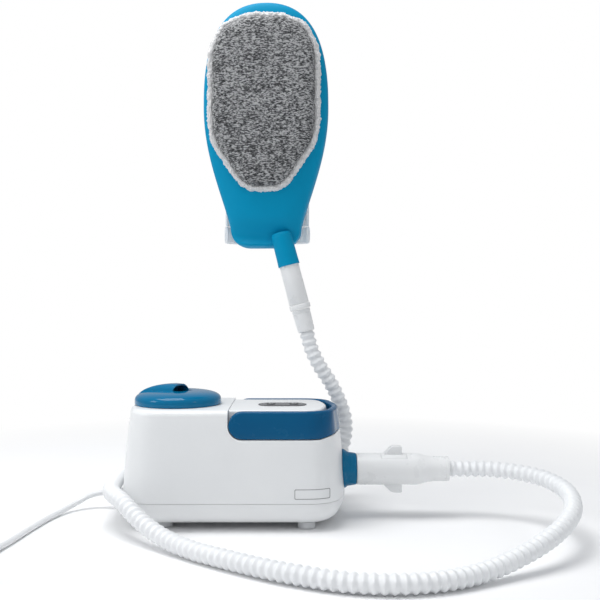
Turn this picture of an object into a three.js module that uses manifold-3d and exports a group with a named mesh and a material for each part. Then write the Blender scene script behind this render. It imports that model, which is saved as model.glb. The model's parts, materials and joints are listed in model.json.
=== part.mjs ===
// Steam glove set: a table-top steam base with tank, carry handle and ribbed hose, and a steam glove on
// the hose.
// Millimetres, +Z up. The base stands on its four feet, its length along X, and the glove hangs in the air
// behind it.
import * as THREE from 'three';
import { mergeVertices } from 'three/addons/utils/BufferGeometryUtils.js';
import Module from 'manifold-3d';

const wasm = await Module();
wasm.setup();

// Clearance between pieces that touch
const GAP = 0.3;

// Base body: outline at the seam and at the top plane
const BODY_LENGTH = 242;
const BODY_WIDTH = 140;
const BODY_TOP_LENGTH = 226;
const BODY_TOP_WIDTH = 122;
const BODY_CORNER = 34;
const BODY_TOP_CORNER = 30;
const BODY_CROWN = 1.4;
const BODY_BOW = 5;
const BODY_WALL = 2.5;
const TOP_Z = 125;
const TOP_EDGE = 6;
const SEAM_Z = 30;
const UNDERSIDE_Z = 7;
const UNDER_EDGE = 20;

// Carry handle and the recess round it
const HANDLE_PIVOT_X = 12;
const HANDLE_TOP_Z = 124;
const HANDLE_HEIGHT = 28.4;
const HANDLE_THICKNESS = 7;
const HANDLE_EDGE = 3;
const HANDLE_PLAY = 1;
const HANDLE_END_RISE = 4.4;
const HANDLE_RISE_INSET = 29;
const FINGER_GAP = 5.5;
const PIVOT_RADIUS = 3.5;
const PIVOT_DEPTH = 4.5;
const PIVOT_BOSS_RADIUS = 6.5;
const PIVOT_SIDE_PLAY = 1.2;

// Control deck and panel
const DECK_TOP_Z = 124;
const DECK_EDGE = 2.5;
const PANEL_X = 52.7;
const PANEL_Y = -2;
const PANEL_LENGTH = 53;
const PANEL_WIDTH = 26;
const PANEL_THICKNESS = 1.8;
const PANEL_SINK = 1.2;
const BUTTON_SPACING = 25.3;
const BUTTON_RADIUS = 5;
const BUTTON_STEM_RADIUS = 4;
const BUTTON_TRAVEL = 1;
const BUTTON_PROUD = 1;
const LENS_RADIUS = 1.8;
const LENS_OFFSET_Y = 8.5;
const BOARD_LENGTH = 56;
const BOARD_WIDTH = 34;
const BOARD_THICKNESS = 1.6;
const BOARD_DROP = 11;
const SWITCH_HEIGHT = 1;

// Tank, neck and cap
const TANK_FLOOR_Z = 44;
const TANK_END_X = -10;
const TANK_WALL = 2;
const TANK_PLAY = 0.5;
const CAP_X = -62.5;
const NECK_RADIUS = 31;
const NECK_WALL = 3;
const NECK_RISE = 2.5;
const CAP_RADIUS = 47.5;
const CAP_HEIGHT = 13;
const CAP_RIM_HEIGHT = 1.7;
const CAP_WALL = 2.5;
const CAP_ROUNDNESS = 3.6;
const HOOD_HEIGHT = 20;
const HOOD_ROUNDNESS = 2.3;
const HOOD_END = 4;
const HOOD_HALF_WIDTH = 16;
const HOOD_TURN = -40;
const PLUG_DEPTH = 14;
const PLUG_CLEARANCE = 0.6;
const PLUG_ROOM = 1;
const POCKET_WIDTH = 24;
const POCKET_DEPTH = 16;
const POCKET_MOUTH = 9;
const POCKET_FLOOR = 2;
const GASKET_HEIGHT = 2.2;

// Feet, screws and the bosses that hold the tray
const FOOT_RADIUS = 9.35;
const FOOT_INSET_RIGHT = 42;
const FOOT_INSET_LEFT = 49;
const FOOT_SIDE_INSET_RIGHT = 24;
const FOOT_SIDE_INSET_LEFT = 30;
const FOOT_SINK = 0.8;
const BOSS_INSET = 27;
const BOSS_SIDE_INSET = 34;
const BOSS_RADIUS = 4;
const BOSS_TOP_Z = 43;
const SCREW_RADIUS = 1.5;
const SCREW_HEAD_RADIUS = 3.7;
const SCREW_HEAD_HEIGHT = 2.2;
const SCREW_LENGTH = 16;

// Pump, boiler and what feeds them
const PUMP_X = 6;
const PUMP_COIL = 28;
const PUMP_COIL_DEPTH = 30;
const PUMP_BARREL_RADIUS = 8;
const PUMP_BARREL_HALF = 36;
const NIPPLE_LENGTH = 6;
const PUMP_TUBE_INSET = 20;
const TUBE_RADIUS = 3.2;
const TUBE_BORE = 1.8;
const BOILER_START_X = 24;
const BOILER_END_INSET = 29;
const THERMOSTAT_SHARE = 0.353;
const FUSE_SHARE = 0.7647;
const BOILER_WIDTH = 64;
const BOILER_FLOOR_Z = 34;
const BOILER_HEIGHT = 38;
const BRACKET_THICKNESS = 1.5;
const BRACKET_LENGTH = 42;
const ELEMENT_RADIUS = 4;
const ELEMENT_SPREAD = 18;
const ELEMENT_Z = 43;

// Steam outlet, collar, connector and its latches, all on one level axis
const OUTLET_Z = 53;
const SOCKET_RADIUS = 11;
const SOCKET_BORE = 7.8;
const SOCKET_SINK = 17;
const SOCKET_PROUD = 3;
const COLLAR_REACH = 13;
const COLLAR_SINK = 9;
const COLLAR_ROOT_RADIUS = 21.8;
const COLLAR_END_RADIUS = 17.25;
const COLLAR_BORE = 16;
const COLLAR_LIP_RADIUS = 13.9;
const COLLAR_LIP = 3;
const CONNECTOR_RADIUS = 17.2;
const CONNECTOR_STRAIGHT = 67;
const CONNECTOR_TAPER = 14;
const CONNECTOR_NECK_RADIUS = 13.6;
const CONNECTOR_LENGTH = 102;
const NOZZLE_RADIUS = 7;
const NOZZLE_BORE = 4.5;
const NOZZLE_SINK = 14;
const NOZZLE_LENGTH = 98;
const LATCH_LOW = 10.5;
const LATCH_HIGH = 13;
const LATCH_HALF_WIDTH = 4;
const LATCH_PAD_HALF_WIDTH = 10.7;
const LATCH_REACH = 62;
const LATCH_PAD_AT = 27;
const LATCH_PAD_LENGTH = 28;
const LATCH_SWING = 3.1;
const FIN_HEIGHT = 8.3;
const FIN_AT = 3.7;
const FIN_LENGTH = 19.7;
const FIN_HALF_WIDTH = 5;

// Steam hose
const HOSE_RADIUS = 9;
const HOSE_ROOT_RADIUS = 7.7;
const HOSE_BORE = 6;
const RIB_PITCH = 16.5;
const HOSE_STRAIGHT = 18;
const ROUTE_BASE_LENGTH = 242;
const ROUTE_BASE_WIDTH = 140;

// Glove: its place behind the base, and the swivelling tube under it
const GLOVE_X = 31;
const GLOVE_Y = 83;
const GLOVE_Z = 301;
const GLOVE_YAW = -4;
const GLOVE_HEIGHT = 290.5;
const GLOVE_HALF_WIDTH = 74.5;
const GLOVE_WIDEST_Z = 168;
const GLOVE_HEEL_HALF_WIDTH = 42;
const GLOVE_HEEL_Z = 23;
const GLOVE_ROUNDNESS = 2.55;
const GLOVE_FRONT = 22;
const GLOVE_BACK = 16;
const GLOVE_WALL = 2.6;
const VALLEY_Z = 12;
const VALLEY_DEPTH = 8.5;
const VALLEY_REACH = 15;
const TUBE_TILT = 14.8;
const TUBE_OFFSET_X = 28.9;
const TUBE_OFFSET_Y = -12;
const STUB_MOUTH_Z = -20.8;
const STUB_LENGTH = 40;
const STUB_MOUTH_RADIUS = 12.75;
const STUB_TOP_RADIUS = 12;
const STUB_SOCKET_DEPTH = 14;
const STUB_BORE = 5;
const SWIVEL_TUBE_RADIUS = 11.5;
const SWIVEL_TUBE_BORE = 6;
const SWIVEL_TUBE_LENGTH = 47.6;
const SWIVEL_RING_RADIUS = 12.4;
const SWIVEL_RING_LENGTH = 6;
const CUFF_RADIUS = 10.7;
const CUFF_END_RADIUS = 10;
const CUFF_LENGTH = 27;

// Steam plate, chamber, back plate, hand pocket, pad
const PLATE_HALF_WIDTH = 42;
const PLATE_HALF_HEIGHT = 78;
const PLATE_CENTRE_Z = 170;
const STEAM_HOLE_RADIUS = 2.2;
const CHAMBER_HALF_WIDTH = 30;
const CHAMBER_HALF_HEIGHT = 62;
const CHAMBER_DEPTH = 9;
const BACK_PLATE_THICKNESS = 3;
const HAND_HALF_WIDTH = 51;
const HAND_DEPTH = 28;
const HAND_START_Z = 28;
const HAND_END_Z = 205;
const HAND_WALL = 2.5;
const WRIST_START_Z = 6;
const WRIST_WALL = 4;
const PAD_HALF_WIDTH = 60.2;
const PAD_HALF_HEIGHT = 98.6;
const PAD_ROUNDNESS = 2.7;
const PAD_FRONT = 35.5;
const BINDING_RADIUS = 2.6;
const BINDING_Y = -21.5;

// Mains lead, its coil, tie and plug
const LEAD_RADIUS = 3;
const LEAD_EXIT_Y = 38;
const LEAD_EXIT_Z = 18;
const RELIEF_LENGTH = 30;
const RELIEF_ROOT_RADIUS = 6.5;
const RELIEF_TIP_RADIUS = 4;
const COIL_X = -262;
const COIL_Y = -172;
const COIL_Z = 4.4;
const COIL_MEAN_RADIUS = 38;
const COIL_SPACING = 6.6;
const COIL_HALF_TURNS = 3;
const TIE_THICKNESS = 0.8;
const TIE_WIDTH = 9;
const TIE_SLACK = 0.5;
const PLUG_RADIUS = 19;
const PLUG_HEIGHT = 22;
const PLUG_NECK = 18;
const PLUG_PIN_RADIUS = 2.4;
const PLUG_PIN_LENGTH = 19;
const TAIL_LENGTH = 14;

// How far a cut surface may move when its spare triangles are merged
const SIMPLIFY = 0.04;

// Facets in a body corner where it is out of sight
const INNER_FACETS = 2;

// Faces round a circle: for the cap, for bodies of middle size and for small pins
const FINE = 24;
const MIDDLE = 14;
const COARSE = 8;

// Places that follow from the body's size: screws, feet, handle rise, outlet pieces and boiler
const bodyEndX = BODY_LENGTH / 2;
const bossX = bodyEndX - BOSS_INSET;
const bossY = BODY_WIDTH / 2 - BOSS_SIDE_INSET;
const footRightX = bodyEndX - FOOT_INSET_RIGHT;
const footLeftX = -bodyEndX + FOOT_INSET_LEFT;
const footRightY = BODY_WIDTH / 2 - FOOT_SIDE_INSET_RIGHT;
const footLeftY = BODY_WIDTH / 2 - FOOT_SIDE_INSET_LEFT;
const handleRiseX = bodyEndX - HANDLE_RISE_INSET;
const socketStartX = bodyEndX - SOCKET_SINK;
const socketEndX = bodyEndX + SOCKET_PROUD;
const collarEndX = bodyEndX + COLLAR_REACH;
const connectorTaperX = collarEndX + CONNECTOR_STRAIGHT;
const connectorNeckX = connectorTaperX + CONNECTOR_TAPER;
const connectorEndX = collarEndX + CONNECTOR_LENGTH;
const nozzleStartX = bodyEndX - NOZZLE_SINK;
const nozzleEndX = nozzleStartX + NOZZLE_LENGTH;
const latchPivotX = collarEndX + LATCH_REACH;
const latchPadStartX = collarEndX + LATCH_PAD_AT;
const latchPadEndX = latchPadStartX + LATCH_PAD_LENGTH;
const finStartX = latchPadStartX + FIN_AT;
const finEndX = finStartX + FIN_LENGTH;
const boilerEndX = bodyEndX - BOILER_END_INSET;
const boilerLength = boilerEndX - BOILER_START_X;

const WHITE = { color: 0xe9ebec, roughness: 0.35, metalness: 0 };
const BLUE = { color: 0x0a6f9e, roughness: 0.35, metalness: 0 };
const CAP_BLUE = { color: 0x1a7fb0, roughness: 0.12, metalness: 0 };
const GLOVE_BLUE = { color: 0x0a8bb8, roughness: 0.5, metalness: 0 };
const DARK = { color: 0x55565a, roughness: 0.45, metalness: 0 };
const STEEL = { color: 0xb9bcc0, roughness: 0.35, metalness: 0.9 };
const CAST = { color: 0xa4a7aa, roughness: 0.6, metalness: 0.7 };
const BRASS = { color: 0xb5984f, roughness: 0.4, metalness: 0.9 };
const RUBBER = { color: 0x2c2d2f, roughness: 0.85, metalness: 0 };
const CLEAR = { color: 0xdfe5e8, roughness: 0.3, metalness: 0 };
const GREEN = { color: 0x2f6b45, roughness: 0.6, metalness: 0 };
const LAMP = { color: 0xd8dde0, roughness: 0.15, metalness: 0 };
const PAD_GREY = { color: 0x8b8c8f, roughness: 0.95, metalness: 0 };
const FLEECE = { color: 0xe6e6e4, roughness: 0.95, metalness: 0 };

const { lerp, clamp, degToRad } = THREE.MathUtils;
const X_AXIS = new THREE.Vector3(1, 0, 0);
const Y_AXIS = new THREE.Vector3(0, 1, 0);
const Z_AXIS = new THREE.Vector3(0, 0, 1);

const vec = (x, y, z) => new THREE.Vector3(x, y, z);

// A copy that keeps only merged positions and real triangles, with its faces pointing out
function tidy(geometry) {
  const bare = geometry.clone();
  bare.deleteAttribute('normal');
  bare.deleteAttribute('uv');
  const merged = mergeVertices(bare, 1e-4);
  const corners = merged.index.array;
  const kept = [];
  for (let i = 0; i < corners.length; i += 3) {
    const [a, b, c] = corners.subarray(i, i + 3);
    if (a !== b && b !== c && c !== a) kept.push(a, b, c);
  }
  merged.setIndex(kept);
  return volumeOf(merged) < 0 ? flipped(merged) : merged;
}

function volumeOf(geometry) {
  const place = geometry.attributes.position;
  const index = geometry.index.array;
  const [a, b, c] = [vec(), vec(), vec()];
  let sum = 0;
  for (let i = 0; i < index.length; i += 3) {
    a.fromBufferAttribute(place, index[i]);
    b.fromBufferAttribute(place, index[i + 1]);
    c.fromBufferAttribute(place, index[i + 2]);
    sum += a.dot(b.cross(c)) / 6;
  }
  return sum;
}

function flipped(geometry) {
  geometry.setIndex(Array.from(geometry.index.array).reverse());
  return geometry;
}

function solidOf(geometry) {
  const { attributes, index } = tidy(geometry);
  const mesh = { numProp: 3, vertProperties: new Float32Array(attributes.position.array),
    triVerts: new Uint32Array(index.array) };
  return new wasm.Manifold(new wasm.Mesh(mesh));
}

function geometryOf(solid) {
  const mesh = solid.asOriginal().simplify(SIMPLIFY).getMesh();
  const geometry = new THREE.BufferGeometry();
  geometry.setAttribute('position', new THREE.BufferAttribute(mesh.vertProperties, 3));
  geometry.setIndex(new THREE.BufferAttribute(mesh.triVerts, 1));
  return geometry;
}

function cut(body, ...tools) {
  return geometryOf(tools.reduce((rest, tool) => rest.subtract(solidOf(tool)), solidOf(body)));
}

function join(body, ...others) {
  return geometryOf(others.reduce((whole, other) => whole.add(solidOf(other)), solidOf(body)));
}

function common(body, other) {
  return geometryOf(solidOf(body).intersect(solidOf(other)));
}

// A closed skin over rings of equally many points, with flat ends
function skin(rings) {
  const count = rings[0].length;
  const points = rings.flat();
  const faces = [];
  for (let k = 0; k + 1 < rings.length; k += 1) {
    for (let i = 0; i < count; i += 1) {
      const a = k * count + i;
      const b = k * count + ((i + 1) % count);
      faces.push(a, b, b + count, a, b + count, a + count);
    }
  }
  const last = (rings.length - 1) * count;
  for (let i = 1; i + 1 < count; i += 1) faces.push(0, i + 1, i, last, last + i, last + i + 1);
  return tidy(meshOf(points, faces));
}

function meshOf(points, faces) {
  const geometry = new THREE.BufferGeometry().setFromPoints(points);
  geometry.setIndex(faces);
  return geometry;
}

function revolve(profile, segments = MIDDLE) {
  const points = profile.map(([radius, height]) => new THREE.Vector2(radius, height));
  return tidy(new THREE.LatheGeometry(points, segments).rotateX(Math.PI / 2));
}

const alongX = (geometry) => geometry.rotateY(Math.PI / 2);
const alongY = (geometry) => geometry.rotateX(-Math.PI / 2);

function disc(radius, low, high, segments = MIDDLE) {
  return revolve([[0, low], [radius, low], [radius, high], [0, high]], segments);
}

function box(x0, x1, y0, y1, z0, z1) {
  const size = new THREE.BoxGeometry(x1 - x0, y1 - y0, z1 - z0);
  return size.translate((x0 + x1) / 2, (y0 + y1) / 2, (z0 + z1) / 2);
}

function extrude(shape, depth, curveSegments = 8) {
  return new THREE.ExtrudeGeometry(shape, { depth, bevelEnabled: false, curveSegments });
}

const prismZ = (shape, low, high, steps) => extrude(shape, high - low, steps).translate(0, 0, low);

// A side view in X and Z, carried from one Y to another
function prismY(shape, near, far, steps) {
  return extrude(shape, far - near, steps).rotateX(Math.PI / 2).translate(0, far, 0);
}

// An end view in Y and Z, carried from one X to another
function prismX(shape, start, end, steps) {
  const turn = new THREE.Matrix4().makeBasis(Y_AXIS, Z_AXIS, X_AXIS);
  return extrude(shape, end - start, steps).applyMatrix4(turn).translate(start, 0, 0);
}

function polygon(points) {
  return new THREE.Shape(points.map(([x, y]) => new THREE.Vector2(x, y)));
}

function stadium(length, width, grow = 0) {
  const radius = width / 2 + grow;
  const reach = (length - width) / 2;
  const shape = new THREE.Shape();
  shape.absarc(reach, 0, radius, -Math.PI / 2, Math.PI / 2, false);
  shape.absarc(-reach, 0, radius, Math.PI / 2, Math.PI * 1.5, false);
  return shape;
}

// Round tube through centre points: each station has a place on the line and a radius
function tubeSkin(centres, radii, sides) {
  const frames = carriedFrames(centres);
  return centres.map((centre, k) => circle(centre, frames[k], radii[k], sides));
}

function circle(centre, { side, up }, radius, sides) {
  const ring = [];
  for (let i = 0; i < sides; i += 1) {
    const angle = (i / sides) * Math.PI * 2;
    const arm = side.clone().multiplyScalar(Math.cos(angle) * radius);
    ring.push(centre.clone().add(arm).addScaledVector(up, Math.sin(angle) * radius));
  }
  return ring;
}

// Frames carried along the line without twist
function carriedFrames(centres) {
  const tangents = centres.map((_, k) => {
    const before = centres[Math.max(k - 1, 0)];
    const after = centres[Math.min(k + 1, centres.length - 1)];
    return after.clone().sub(before).normalize();
  });
  const upright = Math.abs(tangents[0].z) > 0.9 ? X_AXIS : Z_AXIS;
  let side = upright.clone().cross(tangents[0]).normalize();
  return tangents.map((tangent, k) => {
    const turn = new THREE.Quaternion().setFromUnitVectors(tangents[Math.max(k - 1, 0)], tangent);
    side = side.clone().applyQuaternion(turn);
    side.addScaledVector(tangent, -side.dot(tangent)).normalize();
    return { side, up: tangent.clone().cross(side) };
  });
}

// A tube with a bore: an outer skin, an inner skin with its own rings, and an annulus at each end
function boredTube(outer, inner) {
  const count = outer[0].length;
  const points = [...outer.flat(), ...inner.flat()];
  const start = outer.length * count;
  const faces = [];
  const band = (from, rows, inward) => {
    for (let k = 0; k + 1 < rows; k += 1) {
      for (let i = 0; i < count; i += 1) {
        const a = from + k * count + i;
        const b = from + k * count + ((i + 1) % count);
        const pair = [a, b, b + count, a, b + count, a + count];
        faces.push(...(inward ? pair.reverse() : pair));
      }
    }
  };
  band(0, outer.length, false);
  band(start, inner.length, true);
  for (const [ring, bore, back] of [[0, start, false],
    [start - count, start + (inner.length - 1) * count, true]]) {
    for (let i = 0; i < count; i += 1) {
      const next = (i + 1) % count;
      const pair = [ring + i, bore + i, bore + next, ring + i, bore + next, ring + next];
      faces.push(...(back ? pair.reverse() : pair));
    }
  }
  return tidy(meshOf(points, faces));
}

// A small pipe with a bore: straight at both ends, a curve between
function pipe(points, radius, bore, steps, sides = 6) {
  const middle = new THREE.CatmullRomCurve3(points.slice(1, -1), false,
    'centripetal').getSpacedPoints(steps);
  const centres = [points[0], ...middle, points[points.length - 1]];
  const outer = tubeSkin(centres, centres.map(() => radius), sides);
  return boredTube(outer, tubeSkin(centres, centres.map(() => bore), sides));
}

// The body's plan outline: round corners and slightly bowed ends
function planOutline(halfLength, halfWidth, radius, z, facets) {
  const cornerX = halfLength - BODY_BOW - radius;
  const cornerY = halfWidth - radius;
  const points = [];
  for (const [signX, signY, from] of [[1, -1, -90], [1, 1, 0], [-1, 1, 90], [-1, -1, 180]]) {
    for (let k = 0; k <= facets; k += 1) {
      const angle = degToRad(from + (k / facets) * 90);
      points.push(vec(signX * cornerX + radius * Math.cos(angle),
        signY * cornerY + radius * Math.sin(angle), z));
    }
    if (signX * signY > 0) continue;
    for (const share of facets > 2 ? [-0.5, 0, 0.5] : [0]) {
      points.push(vec(signX * (halfLength - BODY_BOW * share * share), share * cornerY * signX, z));
    }
  }
  return points;
}

function bodyRise(z) {
  return clamp((z - SEAM_Z) / (TOP_Z - SEAM_Z), 0, 1) ** BODY_CROWN;
}

const bodyHalfLength = (z) => lerp(BODY_LENGTH, BODY_TOP_LENGTH, bodyRise(z)) / 2;
const bodyHalfWidth = (z) => lerp(BODY_WIDTH, BODY_TOP_WIDTH, bodyRise(z)) / 2;

function bodyRing(z, inset, facets) {
  const radius = lerp(BODY_CORNER, BODY_TOP_CORNER, bodyRise(z));
  return planOutline(bodyHalfLength(z) - inset, bodyHalfWidth(z) - inset, Math.max(radius - inset, 1), z,
    facets);
}

// The body's form between two heights, drawn in all round by an inset, with rounded lower and upper edges
function bodyForm({ inset = 0, low, high, lowEdge = 0, highEdge = 0, facets = 4 }) {
  const arc = Array.from({ length: facets }, (_, k) => ((k / (facets - 1)) * Math.PI) / 2);
  const rings = [];
  const edge = (size, side) => arc.forEach((angle) => {
    if (size > 0 || angle === 0) {
      rings.push([side > 0 ? high - size * (1 - Math.cos(angle)) : low + size * (1 - Math.cos(angle)),
        inset + size * (1 - Math.sin(angle))]);
    }
  });
  edge(lowEdge, -1);
  const steps = Math.max(1, Math.round((high - low) / 32));
  for (let k = 1; k < steps; k += 1) rings.push([lerp(low + lowEdge, high - highEdge, k / steps), inset]);
  edge(highEdge, 1);
  rings.sort((a, b) => a[0] - b[0]);
  return skin(rings.map(([z, inward]) => bodyRing(z, inward, facets)));
}

// Side view of the recess round the handle, grown outwards or drawn in
const handleRadius = HANDLE_HEIGHT / 2;
const handlePivotZ = HANDLE_TOP_Z - handleRadius;

function recess(grow) {
  const radius = handleRadius + HANDLE_PLAY + grow;
  const floor = handlePivotZ - radius;
  const high = TOP_Z + 20;
  const end = BODY_LENGTH;
  const shape = new THREE.Shape();
  shape.moveTo(HANDLE_PIVOT_X - radius, high);
  shape.lineTo(HANDLE_PIVOT_X - radius, handlePivotZ);
  shape.absarc(HANDLE_PIVOT_X, handlePivotZ, radius, Math.PI, Math.PI * 1.5, false);
  shape.lineTo(handleRiseX, floor);
  shape.lineTo(BODY_TOP_LENGTH / 2, floor + HANDLE_END_RISE);
  shape.lineTo(end, floor + HANDLE_END_RISE);
  shape.lineTo(end, high);
  return prismY(shape, -BODY_WIDTH, BODY_WIDTH, 6);
}

function handleSide() {
  const low = handlePivotZ - handleRadius;
  const shape = new THREE.Shape();
  shape.moveTo(HANDLE_PIVOT_X, HANDLE_TOP_Z);
  shape.absarc(HANDLE_PIVOT_X, handlePivotZ, handleRadius, Math.PI / 2, Math.PI * 1.5, false);
  shape.lineTo(handleRiseX, low);
  shape.lineTo(BODY_TOP_LENGTH / 2, low + HANDLE_END_RISE);
  shape.lineTo(BODY_LENGTH, low + HANDLE_END_RISE);
  shape.lineTo(BODY_LENGTH, HANDLE_TOP_Z);
  return prismY(shape, -BODY_WIDTH, BODY_WIDTH, 6);
}

const deckInset = HANDLE_THICKNESS + FINGER_GAP;
const boardTopZ = DECK_TOP_Z - BODY_WALL - BOARD_DROP;
const buttonXs = [PANEL_X - BUTTON_SPACING / 2, PANEL_X + BUTTON_SPACING / 2];

const model = new THREE.Group();
const steamSet = new THREE.Group();
const base = new THREE.Group();
const glove = new THREE.Group();
model.add(steamSet);
steamSet.add(base, glove);

function add(parent, name, geometry, finish) {
  const flat = geometry.index ? geometry.toNonIndexed() : geometry;
  flat.computeVertexNormals();
  const mesh = new THREE.Mesh(flat, new THREE.MeshStandardMaterial({ ...finish, flatShading: true }));
  mesh.name = name;
  parent.add(mesh);
}

// Housing, tray, feet and screws
function housingShell() {
  const outer = bodyForm({ low: SEAM_Z, high: TOP_Z, highEdge: TOP_EDGE });
  const inside = bodyForm({
    inset: BODY_WALL, low: SEAM_Z - 2, high: TOP_Z - BODY_WALL,
      highEdge: TOP_EDGE - BODY_WALL, facets: INNER_FACETS,
  });
  const walls = cut(cut(outer, recess(0)), cut(inside, recess(BODY_WALL)));
  const filler = disc(NECK_RADIUS + GAP * 2, TOP_Z - TOP_EDGE * 2, TOP_Z + 1, FINE).translate(CAP_X, 0, 0);
  const deckWindow = box(HANDLE_PIVOT_X + 4, handleRiseX - 6, -36, 36, SEAM_Z, TOP_Z - 1);
  const outletHole = alongX(disc(SOCKET_RADIUS + GAP, bodyEndX - 16, bodyEndX + 9)).translate(0, 0,
    OUTLET_Z);
  const open = cut(walls, filler, cut(deckWindow, housingCoreKeep()), outletHole);
  return cut(join(open, ...bossPlaces().map(housingBoss)), ...bossPlaces().map(bossHole));
}

// Everything below the ledge, which the deck window leaves alone
function housingCoreKeep() {
  return box(-BODY_LENGTH, BODY_LENGTH, -BODY_WIDTH, BODY_WIDTH, 0,
    handlePivotZ - handleRadius - HANDLE_PLAY - 10);
}

const bossPlaces = () => [[bossX, -bossY], [bossX, bossY], [-bossX, -bossY], [-bossX, bossY]];
const trayFloorZ = UNDERSIDE_Z + BODY_WALL;
const screwSeatZ = trayFloorZ + GAP;
const bossFootZ = screwSeatZ + BODY_WALL + GAP;

function housingBoss([x, y]) {
  const reach = Math.sign(x) * (bodyHalfLength(BOSS_TOP_Z) - BODY_WALL / 2);
  const rib = box(Math.min(reach, x), Math.max(reach, x), y - 1.2, y + 1.2, SEAM_Z + 2, BOSS_TOP_Z);
  return join(disc(BOSS_RADIUS, bossFootZ, BOSS_TOP_Z, COARSE).translate(x, y, 0), rib);
}

function bossHole([x, y]) {
  return disc(SCREW_RADIUS + GAP, bossFootZ - 1, screwSeatZ + SCREW_LENGTH + 1, 8).translate(x, y, 0);
}

function footPlaces() {
  return {
    front_right: [footRightX, -footRightY],
    front_left: [footLeftX, -footLeftY],
    rear_right: [footRightX, footRightY],
    rear_left: [footLeftX, footLeftY],
  };
}

// The room inside the tray, drawn in by a gap
function trayRoom(gap) {
  const inset = BODY_WALL + gap;
  return bodyForm({ inset, low: UNDERSIDE_Z + inset, high: SEAM_Z + 2, lowEdge: UNDER_EDGE - inset,
    facets: INNER_FACETS });
}

function baseTray() {
  const rim = SEAM_Z - GAP;
  const outer = bodyForm({ low: UNDERSIDE_Z, high: rim, lowEdge: UNDER_EDGE });
  const inside = trayRoom(0);
  const pads = bossPlaces().map(([x, y]) => disc(BOSS_RADIUS + 2, trayFloorZ - 1, screwSeatZ + BODY_WALL,
    COARSE).translate(x, y, 0));
  const holes = bossPlaces().map(([x, y]) => revolve([
    [0, UNDERSIDE_Z - 1], [SCREW_HEAD_RADIUS + GAP, UNDERSIDE_Z - 1], [SCREW_HEAD_RADIUS + GAP, screwSeatZ],
    [SCREW_RADIUS + GAP, screwSeatZ], [SCREW_RADIUS + GAP, bossFootZ + 1], [0, bossFootZ + 1],
  ], COARSE).translate(x, y, 0));
  const seats = Object.values(footPlaces()).map(([x, y]) => (
    disc(FOOT_RADIUS + GAP, UNDERSIDE_Z - 1, UNDERSIDE_Z + FOOT_SINK, 12).translate(x, y, 0)));
  const leadHole = alongX(disc(RELIEF_ROOT_RADIUS + GAP, -BODY_LENGTH, -BODY_LENGTH / 3, MIDDLE))
    .translate(0, LEAD_EXIT_Y, LEAD_EXIT_Z);
  return cut(join(cut(outer, inside), ...pads), ...holes, ...seats, leadHole);
}

function foot() {
  const top = UNDERSIDE_Z + FOOT_SINK - GAP;
  return revolve([[0, 0], [FOOT_RADIUS - 1.2, 0], [FOOT_RADIUS, 1.2], [FOOT_RADIUS, top], [0, top]], 12);
}

function trayScrew() {
  const seat = screwSeatZ - GAP;
  return revolve([[0, seat - SCREW_HEAD_HEIGHT], [SCREW_HEAD_RADIUS, seat - SCREW_HEAD_HEIGHT],
    [SCREW_HEAD_RADIUS, seat], [SCREW_RADIUS, seat], [SCREW_RADIUS, seat + SCREW_LENGTH - 1],
    [0, seat + SCREW_LENGTH]], 8);
}

// Carry handle: a bail of the body's own outline, on two blind pivots
function carryHandle() {
  const low = handlePivotZ - handleRadius - 4;
  const outer = bodyForm({ low, high: HANDLE_TOP_Z, highEdge: HANDLE_EDGE });
  const inner = bodyForm({ inset: HANDLE_THICKNESS, low: low - 2, high: HANDLE_TOP_Z + 4 });
  const bail = common(cut(outer, inner), handleSide());
  const face = bodyHalfWidth(handlePivotZ) - HANDLE_THICKNESS;
  const bosses = [-1, 1].map((side) => pivotRod(side, PIVOT_BOSS_RADIUS,
    face - FINGER_GAP + PIVOT_SIDE_PLAY, face + 2));
  const bores = [-1, 1].map((side) => pivotRod(side, PIVOT_RADIUS + GAP, face - FINGER_GAP,
    face + PIVOT_DEPTH + GAP));
  return cut(join(bail, ...bosses), ...bores);
}

// A round along Y at the handle's pivot, between two distances from the middle plane
function pivotRod(side, radius, near, far) {
  const rod = alongY(disc(radius, near, far, MIDDLE));
  return (side < 0 ? rod.rotateZ(Math.PI) : rod).translate(HANDLE_PIVOT_X, 0, handlePivotZ);
}

function handlePivot(side) {
  const face = bodyHalfWidth(handlePivotZ) - HANDLE_THICKNESS;
  const seat = face - FINGER_GAP - BODY_WALL - PIVOT_SIDE_PLAY;
  const pin = pivotRod(side, PIVOT_RADIUS, seat - 2.5, face + PIVOT_DEPTH);
  return join(pin, pivotRod(side, PIVOT_RADIUS + 2, seat - 2.5, seat));
}

// Control deck: the inner block that the handle goes round
function controlDeck() {
  const outer = common(bodyForm({ inset: deckInset, low: 80, high: DECK_TOP_Z, highEdge: DECK_EDGE }),
    recess(-GAP));
  const left = HANDLE_PIVOT_X - handleRadius - HANDLE_PLAY + GAP + BODY_WALL;
  const inside = common(
    bodyForm({ inset: deckInset + BODY_WALL, low: 78, high: DECK_TOP_Z - BODY_WALL, facets: INNER_FACETS }),
    box(left, BODY_LENGTH, -BODY_WIDTH, BODY_WIDTH, 70, TOP_Z + 5),
  );
  const face = bodyHalfWidth(handlePivotZ) - HANDLE_THICKNESS;
  const bores = [-1, 1].map((side) => pivotRod(side, PIVOT_RADIUS + GAP, 20, face));
  const seat = prismZ(stadium(PANEL_LENGTH, PANEL_WIDTH, GAP), DECK_TOP_Z - PANEL_SINK, DECK_TOP_Z + 2, 6)
    .translate(PANEL_X, PANEL_Y, 0);
  const stems = buttonXs.map((x) => (
    disc(BUTTON_STEM_RADIUS + GAP, 100, TOP_Z).translate(x, PANEL_Y, 0)));
  return join(cut(outer, inside, ...bores, seat, ...stems), ...boardPosts());
}

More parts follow.
